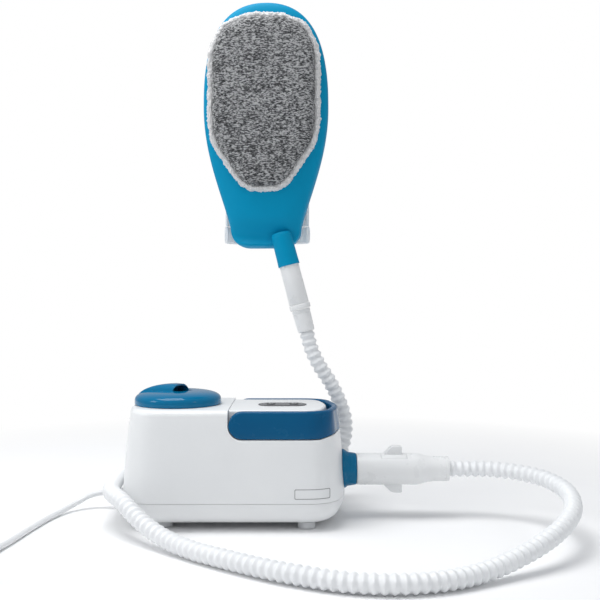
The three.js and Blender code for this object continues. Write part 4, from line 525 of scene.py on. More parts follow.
class Finishes:
    """Every finish of the set, built once and kept by name."""

    def __init__(self) -> None:
        """Builds the materials."""
        white, cool = (0.81, 0.82, 0.825), (0.76, 0.775, 0.785)
        self.shell = Moulded("white_shell", white, cool, 0.34).material()
        self.tray = Moulded("white_tray", (0.80, 0.81, 0.815), cool, 0.36).material()
        self.hose = Moulded("white_hose", (0.83, 0.84, 0.85), (0.78, 0.795, 0.815), 0.42, grain=0.00003).material()
        self.fitting = Moulded("white_fitting", (0.82, 0.825, 0.825), cool, 0.3).material()
        self.lead = Moulded("white_lead", (0.78, 0.79, 0.80), (0.72, 0.735, 0.75), 0.42).material()
        self.foot = Moulded("pale_foot", (0.62, 0.63, 0.64), (0.52, 0.53, 0.55), 0.55, smudge=0.1).material()
        self.handle = Moulded("deep_blue", (0.001, 0.082, 0.200), (0.001, 0.100, 0.222), 0.24, coat=0.07,
                              gloss=0.15).material()
        self.collar = Moulded("collar_blue", (0.001, 0.122, 0.250), (0.002, 0.140, 0.280), 0.28, coat=0.06,
                              gloss=0.15).material()
        self.cap = Moulded("cap_blue", (0.001, 0.140, 0.290), (0.001, 0.158, 0.315), 0.08, smudge=0.02,
                           grain=0.000004, coat=0.25, gloss=0.1).material()
        self.glove = Moulded("glove_blue", (0.001, 0.270, 0.480), (0.001, 0.250, 0.450), 0.5, smudge=0.07,
                             grain=0.00003, gloss=0.07).material()
        self.panel = Moulded("panel_dark", (0.10, 0.10, 0.107), (0.088, 0.09, 0.096), 0.2, smudge=0.05).material()
        self.dark = Moulded("dark_moulding", (0.06, 0.062, 0.066), (0.045, 0.046, 0.05), 0.45).material()
        self.rubber = Moulded("black_rubber", (0.025, 0.026, 0.028), (0.04, 0.04, 0.042), 0.75, smudge=0.1).material()
        self.clear = Moulded("frosted_tank", (0.72, 0.76, 0.78), (0.66, 0.71, 0.74), 0.3).material()
        self.board = Moulded("green_board", (0.02, 0.12, 0.05), (0.015, 0.09, 0.04), 0.5).material()
        self.lens = Moulded("lamp_lens", (0.70, 0.74, 0.76), (0.64, 0.68, 0.72), 0.12, grain=0.0).material()
        self.steel = Metal("bright_steel", (0.60, 0.61, 0.62), (0.46, 0.46, 0.47), 0.3).material()
        self.cast = Metal("cast_aluminium", (0.50, 0.51, 0.52), (0.36, 0.36, 0.37), 0.55, cast=True).material()
        self.brass = Metal("turned_brass", (0.62, 0.45, 0.16), (0.42, 0.29, 0.11), 0.3).material()
        self.pile = LoopPile().material()
        self.fleece = Cloth("white_fleece", (0.84, 0.84, 0.83), (0.62, 0.62, 0.63), 0.0022).material()
        # Painted light: the pocket cloth's glow brightens it where it lies in shade.
        self.pocket = Cloth("pocket_cloth", (0.84, 0.845, 0.85), (0.78, 0.785, 0.79), 0.0008, glow=0.14).material()
        self.line = Moulded("plate_line", (0.22, 0.222, 0.23), (0.28, 0.282, 0.29), 0.5).material()
        # Painted light: the white knit's glow brightens it where it lies in shade.
        self.knit = Cloth("white_knit", (0.84, 0.84, 0.84), (0.78, 0.78, 0.785), 0.0010, glow=0.14).material()
        self.strap = Cloth("strap_weave", (0.72, 0.73, 0.74), (0.5, 0.5, 0.52), 0.0008).material()
        self.steam_sign = FacedCap("steam_button_face", (40.05, -2.0), "steam").material()
        self.power_sign = FacedCap("power_button_face", (65.35, -2.0), "power").material()


@dataclass(frozen=True)
class Axis:
    """A straight axis in the frame: a start, a direction and a side that is square to it."""

    start: Vector
    along: Vector
    side: Vector

    def spot(self, reach: float, height: float) -> Vector:
        """The point at a reach from the axis and a height along it, in metres."""
        return self.start + self.along * height + self.side * reach

    @classmethod
    def upright(cls, x: float, y: float, z: float = 0.0) -> "Axis":
        """An upright axis over a place on the base's drawing."""
        return cls(spot(x, y, z), Vector((0, 0, 1)), Vector((1, 0, 0)))


class Bench:
    """Shapes meshes with Blender's own edit tools."""

    @staticmethod
    def clear() -> None:
        """Deselects everything."""
        bpy.ops.object.select_all(action="DESELECT")

    @staticmethod
    def take(piece: bpy.types.Object) -> None:
        """Makes one piece the selected and active one."""
        Bench.clear()
        piece.select_set(True)
        bpy.context.view_layer.objects.active = piece

    @staticmethod
    def named(name: str) -> bpy.types.Object:
        """The primitive that was just added, under its new name."""
        piece = bpy.context.object
        piece.name = piece.data.name = name
        return piece

    @staticmethod
    def linked(name: str, data: bpy.types.ID) -> bpy.types.Object:
        """A new object round some data, in the scene's own collection."""
        made = bpy.data.objects.new(name, data)
        bpy.context.scene.collection.objects.link(made)
        return made

    @staticmethod
    def _spread(piece: bpy.types.Object, points: np.ndarray) -> None:
        """Moves a piece's vertices to the given points."""
        piece.data.vertices.foreach_set("co", points.astype(np.float32).ravel())
        piece.data.update()

    @classmethod
    def sheet(cls, name: str, rows: Sequence[Sequence[Vector]], merge: float = 1e-7,
              fill: bool = False) -> bpy.types.Object:
        """A grid primitive whose points are moved to rows of places, and merged where they meet.

        Args:
            name: The piece's name.
            rows: Rows of equally many places in metres; a closed row repeats its first place.
            merge: How near two points are to become one.
            fill: Whether open ends are filled.

        Returns:
            The piece, with its faces turned outwards.
        """
        cls.clear()
        columns = len(rows[0])
        bpy.ops.mesh.primitive_grid_add(x_subdivisions=columns - 1, y_subdivisions=len(rows) - 1, size=1)
        piece = cls.named(name)
        flat = np.array([tuple(v.co) for v in piece.data.vertices])
        order = np.lexsort((np.round(flat[:, 0], 5), np.round(flat[:, 1], 5)))
        points = np.empty_like(flat)
        points[order] = np.array([tuple(p) for row in rows for p in row])
        cls._spread(piece, points)
        cls._close(piece, merge, fill)
        return piece

    @classmethod
    def _close(cls, piece: bpy.types.Object, merge: float, fill: bool) -> None:
        """Merges what meets, fills open ends if asked, and turns faces outwards."""
        cls.take(piece)
        bpy.ops.object.mode_set(mode="EDIT")
        bpy.ops.mesh.select_all(action="SELECT")
        bpy.ops.mesh.remove_doubles(threshold=merge)
        bpy.ops.mesh.dissolve_degenerate(threshold=merge)
        bpy.ops.mesh.delete_loose()
        if fill:
            bpy.ops.mesh.select_all(action="DESELECT")
            bpy.ops.mesh.select_non_manifold(extend=False)
            bpy.ops.mesh.fill_holes(sides=0)
        bpy.ops.mesh.select_all(action="SELECT")
        bpy.ops.mesh.normals_make_consistent(inside=False)
        bpy.ops.object.mode_set(mode="OBJECT")

    @classmethod
    def ringed(cls, name: str, places: Sequence[Vector]) -> bpy.types.Object:
        """A circle primitive whose points are moved to the given places, left in edit mode with all selected."""
        cls.clear()
        bpy.ops.mesh.primitive_circle_add(vertices=len(places), radius=0.01)
        piece = cls.named(name)
        cls._spread(piece, np.array([tuple(p) for p in places]))
        bpy.ops.object.mode_set(mode="EDIT")
        bpy.ops.mesh.select_all(action="SELECT")
        return piece

    @classmethod
    def turned(cls, name: str, profile: Profile, axis: Axis, steps: int = 72) -> bpy.types.Object:
        """A closed profile spun round an axis, as on a lathe.

        Args:
            name: The piece's name.
            profile: Pairs of reach and height in millimetres, closed on itself.
            axis: The axis in metres.
            steps: Faces round it.

        Returns:
            The turned piece.
        """
        piece = cls.ringed(name, [axis.spot(reach * MM, height * MM) for reach, height in profile])
        bpy.ops.mesh.spin(steps=steps, angle=math.tau, center=axis.start, axis=axis.along, use_auto_merge=True)
        bpy.ops.object.mode_set(mode="OBJECT")
        cls._close(piece, 2e-6, False)
        return piece

    @classmethod
    def rod(cls, name: str, radius: float, low: float, high: float, axis: Axis, steps: int = 48) -> bpy.types.Object:
        """A plain cylinder between two heights along an axis."""
        return cls.turned(name, [(0, low), (radius, low), (radius, high), (0, high)], axis, steps)

    @classmethod
    def prism(cls, name: str, outline: Sequence[Vector], travel: Vector) -> bpy.types.Object:
        """A flat outline filled and extruded."""
        piece = cls.ringed(name, outline)
        bpy.ops.mesh.edge_face_add()
        bpy.ops.mesh.extrude_region_move(TRANSFORM_OT_translate={"value": travel})
        bpy.ops.mesh.select_all(action="SELECT")
        bpy.ops.mesh.normals_make_consistent(inside=False)
        bpy.ops.object.mode_set(mode="OBJECT")
        return piece

    @classmethod
    def block(cls, name: str, low: Point, high: Point) -> bpy.types.Object:
        """A cube primitive between two corners on the base's drawing."""
        cls.clear()
        bpy.ops.mesh.primitive_cube_add(size=1)
        piece = cls.named(name)
        first, last = spot(*low), spot(*high)
        middle, span = (first + last) / 2, last - first
        piece.data.transform(Matrix.Translation(middle) @ Matrix.Diagonal((*span, 1)))
        return piece

    @classmethod
    def apply(cls, piece: bpy.types.Object, kind: str, **settings: object) -> bpy.types.Object:
        """Adds a modifier with its settings and applies it."""
        modifier = piece.modifiers.new(kind.lower(), kind)
        for key, value in settings.items():
            setattr(modifier, key, value)
        cls.take(piece)
        bpy.ops.object.modifier_apply(modifier=modifier.name)
        return piece

    @classmethod
    def carve(cls, piece: bpy.types.Object, *tools: bpy.types.Object, how: str = "DIFFERENCE") -> bpy.types.Object:
        """Cuts a piece with tools, or joins or intersects them, and throws the tools away."""
        for tool in tools:
            cls.apply(piece, "BOOLEAN", operation=how, solver="EXACT", object=tool)
            bpy.data.objects.remove(tool)
        return piece

    @classmethod
    def soften(cls, piece: bpy.types.Object, width: float, segments: int = 3, angle: float = 32) -> bpy.types.Object:
        """Rounds the sharp edges of a piece by a width in millimetres."""
        return cls.apply(piece, "BEVEL", width=width * MM, segments=segments, limit_method="ANGLE",
                         angle_limit=math.radians(angle), use_clamp_overlap=True)

    @classmethod
    def smooth(cls, piece: bpy.types.Object, angle: float = 38) -> bpy.types.Object:
        """Shades a piece smooth, apart from edges sharper than the angle."""
        cls.take(piece)
        bpy.ops.object.shade_smooth_by_angle(angle=math.radians(angle))
        return piece

    @classmethod
    def join(cls, name: str, pieces: Sequence[bpy.types.Object]) -> bpy.types.Object:
        """Joins pieces into one object."""
        cls.clear()
        for piece in pieces:
            piece.select_set(True)
        bpy.context.view_layer.objects.active = pieces[0]
        bpy.ops.object.join()
        pieces[0].name = name
        return pieces[0]

    @classmethod
    def twin(cls, piece: bpy.types.Object, name: str) -> bpy.types.Object:
        """A copy of a piece with its own mesh."""
        copy = piece.copy()
        copy.data = piece.data.copy()
        copy.name = copy.data.name = name
        bpy.context.scene.collection.objects.link(copy)
        return copy

    @staticmethod
    def swell(piece: bpy.types.Object, reach: Callable[[bmesh.types.BMVert], float]) -> bpy.types.Object:
        """Moves each vertex along its normal by the millimetres that a rule gives for it."""
        mesh = bmesh.new()
        mesh.from_mesh(piece.data)
        mesh.normal_update()
        moves = [(vert, vert.normal * (reach(vert) * MM)) for vert in mesh.verts]
        for vert, move in moves:
            vert.co += move
        mesh.to_mesh(piece.data)
        mesh.free()
        return piece

    @staticmethod
    def line(name: str, places: Sequence[Vector]) -> bpy.types.Object:
        """A curve object whose straight stretches go from place to place."""
        data = bpy.data.curves.new(name, "CURVE")
        data.dimensions = "3D"
        spline = data.splines.new("POLY")
        spline.points.add(len(places) - 1)
        for point, place in zip(spline.points, places):
            point.co = (*place, 1.0)
        return Bench.linked(name, data)


class Fitter:
    """Hands each finished piece to the frame: its body, the nodes it stands for and its finish."""

    def __init__(self, frame: dict, finishes: Finishes) -> None:
        """Keeps the frame and the finishes."""
        self.nodes: dict[str, bpy.types.Object] = frame["nodes"]
        self.finishes = finishes

    def fit(self, piece: bpy.types.Object, nodes: Sequence[str], material: bpy.types.Material,
            slot: Slot, angle: float = 38) -> bpy.types.Object:
        """Gives a piece its finish and puts it on the body of the nodes that it stands for.

        Args:
            piece: The finished mesh.
            nodes: CAD nodes that it replaces; the first one's body carries it.
            material: Its finish.
            slot: The record's slot; not used.
            angle: Edges sharper than this stay sharp.

        Returns:
            The piece.
        """
        self.paint(piece, material)
        if piece.type == "MESH":
            Bench.smooth(piece, angle)
        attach(piece, self.nodes[nodes[0]]["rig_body"])
        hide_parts(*nodes)
        LOG.info("%s stands for %s", piece.name, ", ".join(nodes))
        return piece

    @staticmethod
    def paint(piece: bpy.types.Object, material: bpy.types.Material) -> None:
        """Gives a piece one material in place of what it has."""
        piece.data.materials.clear()
        piece.data.materials.append(material)

    def dress(self, material: bpy.types.Material, *nodes: str) -> None:
        """Gives CAD nodes that stay a better finish."""
        for name in nodes:
            self.paint(self.nodes[name], material)
        LOG.info("dressed %s", ", ".join(nodes))


@dataclass
class Route:
    """A smooth line through given points, centripetal as the frame's own cords are."""

    points: Sequence[Vector]

    def sampled(self, step: float) -> list[Vector]:
        """Places along the line, about a step apart in metres."""
        dense = self._dense(24)
        length = np.linalg.norm(np.diff(dense, axis=0), axis=1).sum()
        count = max(2, round(length / step))
        return [Vector(row) for row in evenly(dense, count + 1, closed=False)]

    def _dense(self, per: int) -> np.ndarray:
        """Many points on each stretch between two chosen ones."""
        given = np.array([tuple(p) for p in self.points])
        before = np.vstack([2 * given[0] - given[1], given[:-2]])
        start, end = given[:-1], given[1:]
        after = np.vstack([given[2:], 2 * given[-1] - given[-2]])
        gaps = [np.sum((b - a) ** 2, axis=1, keepdims=True) ** 0.25
                for a, b in ((before, start), (start, end), (end, after))]
        first = ((start - before) / gaps[0] - (end - before) / (gaps[0] + gaps[1]) + (end - start) / gaps[1]) * gaps[1]
        last = ((end - start) / gaps[1] - (after - start) / (gaps[1] + gaps[2]) + (after - end) / gaps[2]) * gaps[1]
        share = np.linspace(0, 1, per, endpoint=False)[None, :, None]
        terms = [start, first, -3 * start + 3 * end - 2 * first - last, 2 * start - 2 * end + first + last]
        line = sum(term[:, None] * share ** power for power, term in enumerate(terms))
        return np.vstack([line.reshape(-1, 3), given[-1]])


def length_of(places: Sequence[Vector]) -> float:
    """Length of a line of places."""
    return sum((b - a).length for a, b in zip(places, places[1:]))


@dataclass
class SwivelTube:
    """The handset's tube axis: its mouth under the glove, and how far down each piece on it reaches."""

    mouth: Point = (28.9, -12.0, -20.8)
    tilt: float = 14.8
    tube_length: float = 47.6
    ring_length: float = 6.0
    cuff_length: float = 27.0

    @property
    def ring_start(self) -> float:
        """Where the swivel ring starts."""
        return self.tube_length + GAP

    @property
    def cuff_start(self) -> float:
        """Where the hose cuff starts."""
        return self.ring_start + self.ring_length + GAP

    @property
    def cuff_end(self) -> float:
        """Where the hose cuff ends."""
        return self.cuff_start + self.cuff_length

    def local(self, distance: float) -> Point:
        """A point down the axis on the glove's drawing."""
        lean = math.radians(self.tilt)
        return (self.mouth[0] + math.sin(lean) * distance, self.mouth[1], self.mouth[2] - math.cos(lean) * distance)

    def spot(self, distance: float) -> Vector:
        """A point down the axis in the frame."""
        return glove_spot(*self.local(distance))

    def axis(self) -> Axis:
        """The axis in the frame, from the mouth down."""
        along = (self.spot(1000) - self.spot(0)).normalized()
        return Axis(self.spot(0), along, Vector((0, -1, 0)).cross(along).normalized())


@dataclass
class SteamHose:
    """Ribbed hose from the connector round the front and the left end, along the back and up to the cuff."""

    radius: float = 9.0
    root: float = 6.9
    ribs: int = 164
    rib_cuts: int = 8
    rib_sharpness: float = 1.7
    straight: float = 18.0
    outlet: Point = (236.3, 0.0, 53.0)
    middle_points: Sequence[Point] = (
        (274.4, -2.9, 53.5), (300.9, -14.0, 53.0), (328.5, -40.1, 51.1), (342.2, -76.5, 46.2), (337.6, -118.1, 38.9),
        (318.9, -155.0, 31.8), (292.3, -184.5, 23.8), (260.4, -208.3, 15.7), (226.3, -230.0, 10.1),
        (189.7, -249.4, 9.3), (150.9, -257.6, 9.5), (110.7, -252.2, 9.3), (72.3, -236.0, 9.8), (37.5, -214.4, 9.7),
        (5.1, -190.0, 9.8), (-26.1, -163.8, 9.6), (-55.1, -136.5, 12.4), (-82.7, -109.4, 21.2), (-108.7, -77.8, 34.5),
        (-126.4, -47.4, 37.7), (-131.8, -3.3, 38.5), (-132.1, 40.9, 37.1), (-120.5, 75.7, 33.3), (-96.0, 101.7, 26.4),
        (-60.0, 115.4, 19.0), (-18.9, 116.1, 12.6), (21.6, 110.6, 9.8), (65.4, 101.2, 11.5), (100.3, 93.8, 29.0),
        (121.2, 86.4, 58.5), (125.8, 78.6, 94.1), (112.0, 70.2, 133.8), (93.1, 66.9, 164.8))

    def build(self, tube: SwivelTube) -> bpy.types.Object:
        """Models one rib, repeats it and bends the row along the route.

        Args:
            tube: The handset tube, under which the hose ends.

        Returns:
            The hose.
        """
        x, y, z = self.outlet
        ends = [tube.spot(tube.cuff_end + GAP + reach) for reach in (self.straight, self.straight / 2, 0)]
        start = [spot(x + reach, y, z) for reach in (0, self.straight / 2, self.straight)]
        places = Route([*start, *(spot(*p) for p in self.middle_points), *ends]).sampled(0.004)
        length = length_of(places)
        hose = self._ribs(length)
        line = Bench.line("hose_line", places)
        line.data.twist_mode = "MINIMUM"
        Bench.apply(hose, "CURVE", object=line, deform_axis="POS_X")
        bpy.data.objects.remove(line)
        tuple(places[0])
        return hose

    def _ribs(self, length: float) -> bpy.types.Object:
        """A straight row of ribs along X, one closed ring of swell for each."""
        pitch = length / self.ribs
        Bench.clear()
        bpy.ops.mesh.primitive_cylinder_add(vertices=32, radius=self.root * MM, depth=pitch, end_fill_type="NOTHING",
                                            location=(0, 0, 0), rotation=(0, math.pi / 2, 0))
        hose = Bench.named("ribbed_hose")
        bpy.ops.object.transform_apply(location=True, rotation=True, scale=True)
        bpy.ops.object.mode_set(mode="EDIT")
        bpy.ops.mesh.select_all(action="SELECT")
        bpy.ops.mesh.subdivide(number_cuts=1)
        mesh = bmesh.from_edit_mesh(hose.data)
        for k in range(1, self.rib_cuts):
            geometry = [*mesh.verts, *mesh.edges, *mesh.faces]
            place = Vector((pitch * (k / self.rib_cuts - 0.5), 0, 0))
            bmesh.ops.bisect_plane(mesh, geom=geometry, plane_co=place, plane_no=(1, 0, 0))
        for vert in mesh.verts:
            share = vert.co.x / pitch + 0.5
            swell = math.sin(math.pi * share) ** self.rib_sharpness if 0 < share < 1 else 0.0
            reach = lerp(self.root, self.radius, swell) * MM
            side = Vector((0, vert.co.y, vert.co.z)).normalized()
            vert.co = Vector((vert.co.x + pitch / 2, side.y * reach, side.z * reach))
        bmesh.update_edit_mesh(hose.data)
        bpy.ops.object.mode_set(mode="OBJECT")
        Bench.apply(hose, "ARRAY", count=self.ribs, use_relative_offset=False, use_constant_offset=True,
                    constant_offset_displace=(pitch, 0, 0), use_merge_vertices=True, merge_threshold=1e-5)
        return hose


@dataclass
class MainsLead:
    """Mains lead: down from its strain relief, away to the left into a tied coil, and on to its plug."""

    radius: float = 3.0
    exit_y: float = 38.0
    exit_z: float = 18.0
    relief_root_x: float = -121.0
    relief_length: float = 30.0
    coil: Point = (-262.0, -172.0, 4.4)
    coil_radius: float = 38.0
    spacing: float = 6.6
    half_turns: int = 3
    tail: float = 14.0
    plug_radius: float = 19.0
    plug_height: float = 22.0
    plug_neck: float = 18.0
    middle_points: Sequence[Point] = (
        (-169.0, 36.0, 14.8), (-179.0, 30.0, 10.0), (-187.5, 19.0, 6.2), (-194.0, 4.0, 4.2), (-199.0, -14.0, 3.6),
        (-203.0, -36.0, 3.5), (-206.5, -62.0, 3.5), (-209.5, -88.0, 3.6), (-212.5, -114.0, 3.8),
        (-215.5, -138.0, 4.2))
    length: float = field(init=False, default=0.0)
    exit: Vector = field(init=False, default_factory=Vector)

    @property
    def outer(self) -> float:
        """Radius of the coil's outer turn."""
        return self.coil_radius + self.half_turns * self.spacing / 2

    def coil_places(self) -> list[Point]:
        """Points of the coil: in on the lower layer, up, and out on the upper one."""
        steps, places = 24, []
        for k in range(self.half_turns * 2 * steps + 1):
            turn = k / steps
            reach = self.outer - self.spacing * (self.half_turns - abs(turn - self.half_turns))
            climb = ease((turn - self.half_turns + 0.25) / 0.5)
            angle = -turn * math.tau
            places.append((self.coil[0] + reach * math.cos(angle), self.coil[1] + reach * math.sin(angle),
                           self.coil[2] + self.spacing * climb))
        return places

    def build(self) -> bpy.types.Object:
        """One curve for the whole lead, from the relief's tip to the plug.

        Returns:
            The lead's curve.
        """
        tip = self.relief_root_x - self.relief_length
        x, y, z = self.coil[0] + self.outer, self.coil[1], self.coil[2]
        start = [(tip + 1, self.exit_y, self.exit_z), (tip - 8, self.exit_y - 0.3, self.exit_z - 0.6)]
        joining = [(x, y + 18, z), (x, y + 6, z)]
        high = z + self.spacing
        leaving = [(x, y - 6, high), (x, y - 12, high), (x, y - 6 - GAP - self.tail, high)]
        points = [*start, *self.middle_points, *joining, *self.coil_places(), *leaving]
        places = Route([spot(*p) for p in points]).sampled(0.004)
        lead = Bench.line("mains_lead", places)
        lead.data.bevel_depth = self.radius * MM
        lead.data.bevel_resolution = 3
        lead.data.use_fill_caps = True
        self.length = length_of(places)
        self.exit = places[0]
        return lead

    def relief(self) -> bpy.types.Object:
        """The tapered strain relief with its grooves."""
        profile = [(0.0, -4.0), (6.5, -4.0), (6.5, 1.0)]
        for k in range(5):
            low, high = 3.0 + k * 5.0, 6.0 + k * 5.0
            reach = [lerp(6.5, 4.0, height / self.relief_length) for height in (low, low + 0.5, high - 0.5, high)]
            profile += [(reach[0], low), (reach[1] - 1.1, low + 0.5), (reach[2] - 1.1, high - 0.5), (reach[3], high)]
        profile += [(4.2, self.relief_length - 1.0), (3.6, self.relief_length), (0.0, self.relief_length)]
        axis = Axis(spot(self.relief_root_x, self.exit_y, self.exit_z), Vector((-1, 0, 0)), Vector((0, 0, 1)))
        return Bench.soften(Bench.turned("strain_relief", profile, axis, 40), 0.3, 2, 50)

    def plug(self) -> tuple[bpy.types.Object, bpy.types.Object]:
        """The round plug with its neck, and its two pins."""
        x, high = self.coil[0] + self.outer, self.coil[2] + self.spacing
        y = self.coil[1] - 6 - GAP - self.tail - GAP - self.plug_neck - self.plug_radius
        r, h = self.plug_radius, self.plug_height
        body = Bench.turned("plug_body", [(0, 0.3), (r - 3, 0.3), (r - 1.4, 1.1), (r - 0.5, 2.8), (r, 7), (r, h - 5),
                                          (r - 0.8, h - 4.4), (r - 0.8, h - 3.8), (r, h - 3.2), (r, h - 1.6),
                                          (r - 0.5, h - 0.5), (r - 1.6, h), (0, h)], Axis.upright(x, y), 64)
        level = Axis(spot(x, y, high), Vector((0, 1, 0)), Vector((0, 0, 1)))
        neck = [(0, r - 6), (8.5, r - 6), (8, r), (7, r + 4)]
        for k in range(3):
            at = r + 6 + k * 4
            reach = lerp(6.6, 4.4, k / 2)
            neck += [(reach, at), (reach - 0.9, at + 0.5), (reach - 0.9, at + 1.6), (reach - 0.2, at + 2.1)]
        neck += [(4.0, r + self.plug_neck), (0, r + self.plug_neck)]
        body = Bench.carve(body, Bench.turned("plug_neck", neck, level, 40), how="UNION")
        pins = []
        for side in (-9.5, 9.5):
            pins.append(Bench.turned("plug_pin", [(0, -1), (2.4, -1), (2.4, 17.2), (2.0, 18.4), (1.2, 19), (0, 19)],
                                     Axis.upright(x + side, y, h), 32))
        return Bench.soften(body, 0.4, 2, 50), Bench.join("plug_pins", pins)

    def tie(self) -> bpy.types.Object:
        """A soft strap wound round both layers of the coil."""
        inner = self.outer - self.spacing * self.half_turns - self.radius - 0.5
        outer = self.outer + self.radius + 0.5
        low, high = self.coil[2] - self.radius - 0.5, self.coil[2] + self.spacing + self.radius + 0.5
        middle, reach = (inner + outer) / 2, (outer - inner) / 2
        centre, rise = (low + high) / 2, (high - low) / 2
        rows = []
        for side, skin in ((-4.5, 0.0), (-4.5, 0.8), (-4.0, 0.95), (4.0, 0.95), (4.5, 0.8), (4.5, 0.0), (-4.5, 0.0)):
            row = []
            for k in range(49):
                angle = k / 48 * math.tau
                x = (reach + skin) * signed(math.cos(angle), 0.45)
                z = (rise + skin) * signed(math.sin(angle), 0.45)
                row.append(spot(self.coil[0] - middle + x, self.coil[1] + side, max(centre + z, 0.15)))
            rows.append(row)
        return Bench.sheet("lead_tie", rows)


@dataclass
class BodyForm:
    """The base's own outline, which the housing, the tray, the deck and the handle share."""

    length: float = 242.0
    width: float = 140.0
    top_length: float = 226.0
    top_width: float = 122.0
    corner: float = 34.0
    top_corner: float = 30.0
    bow: float = 5.0
    crown: float = 1.4
    seam: float = 30.0
    top: float = 125.0
    top_edge: float = 6.0

    def rise(self, z: float) -> float:
        """How far up the flank a height is, eased as the flank is."""
        return clamp((z - self.seam) / (self.top - self.seam)) ** self.crown

    def half_length(self, z: float) -> float:
        """Half length at a height."""
        return lerp(self.length, self.top_length, self.rise(z)) / 2

    def half_width(self, z: float) -> float:
        """Half width at a height."""
        return lerp(self.width, self.top_width, self.rise(z)) / 2

    def outline(self, z: float, inset: float, count: int = 168) -> np.ndarray:
        """Evenly spaced points of the outline, from the middle of the right end to the back and on round.

        Args:
            z: Height.
            inset: How far it is drawn in.
            count: How many points.

        Returns:
            The points as rows of X and Y.
        """
        half_length, half_width = self.half_length(z) - inset, self.half_width(z) - inset
        radius = max(lerp(self.corner, self.top_corner, self.rise(z)) - inset, 1.0)
        middle_x, middle_y = half_length - self.bow - radius, half_width - radius
        quarter = [(half_length - self.bow * share * share, middle_y * share) for share in np.linspace(0, 1, 14)]
        for angle in np.linspace(0, math.pi / 2, 24):
            quarter.append((middle_x + radius * math.cos(angle), middle_y + radius * math.sin(angle)))
        quarter += [(middle_x * share, half_width) for share in np.linspace(0.94, 0, 16)]
        first = np.array(quarter)
        second = first[::-1][1:] * (-1, 1)
        half = np.vstack([first, second])
        line = np.vstack([half, half[::-1][1:] * (1, -1)])
        even = evenly(line, count)
        for _ in range(5):
            even = 0.5 * even + 0.25 * (np.roll(even, 1, 0) + np.roll(even, -1, 0))
        return even

    def ring(self, z: float, inset: float) -> list[Vector]:
        """A closed ring of the form in the frame."""
        points = [spot(x, y, z) for x, y in self.outline(z, inset)]
        return [*points, points[0]]

    def solid(self, name: str, low: float, high: float, low_edge: float = 0.0, high_edge: float = 0.0,
              inset: float = 0.0) -> bpy.types.Object:
        """The form between two heights as a closed solid, with rounded lower and upper edges.

        Args:
            name: The piece's name.
            low: Its lowest height.
            high: Its highest.
            low_edge: Radius of the lower edge.
            high_edge: Radius of the upper edge.
            inset: How far it is drawn in.

        Returns:
            The solid.
        """
        levels = [(low, inset + low_edge)]
        arc = [k / 8 * math.pi / 2 for k in range(1, 9)]
        if low_edge:
            levels += [(low + low_edge * (1 - math.cos(a)), inset + low_edge * (1 - math.sin(a))) for a in arc]
        steps = max(2, round((high - low) / 9))
        levels += [(lerp(low + low_edge, high - high_edge, k / steps), inset) for k in range(1, steps)]
        if high_edge:
            levels += [(high - high_edge * (1 - math.sin(a)), inset + high_edge * (1 - math.cos(a)))
                       for a in [0.0, *arc]]
        else:
            levels.append((high, inset))
        rings = [self.ring(z, drawn) for z, drawn in levels]
        return Bench.sheet(name, rings, merge=2e-6, fill=True)


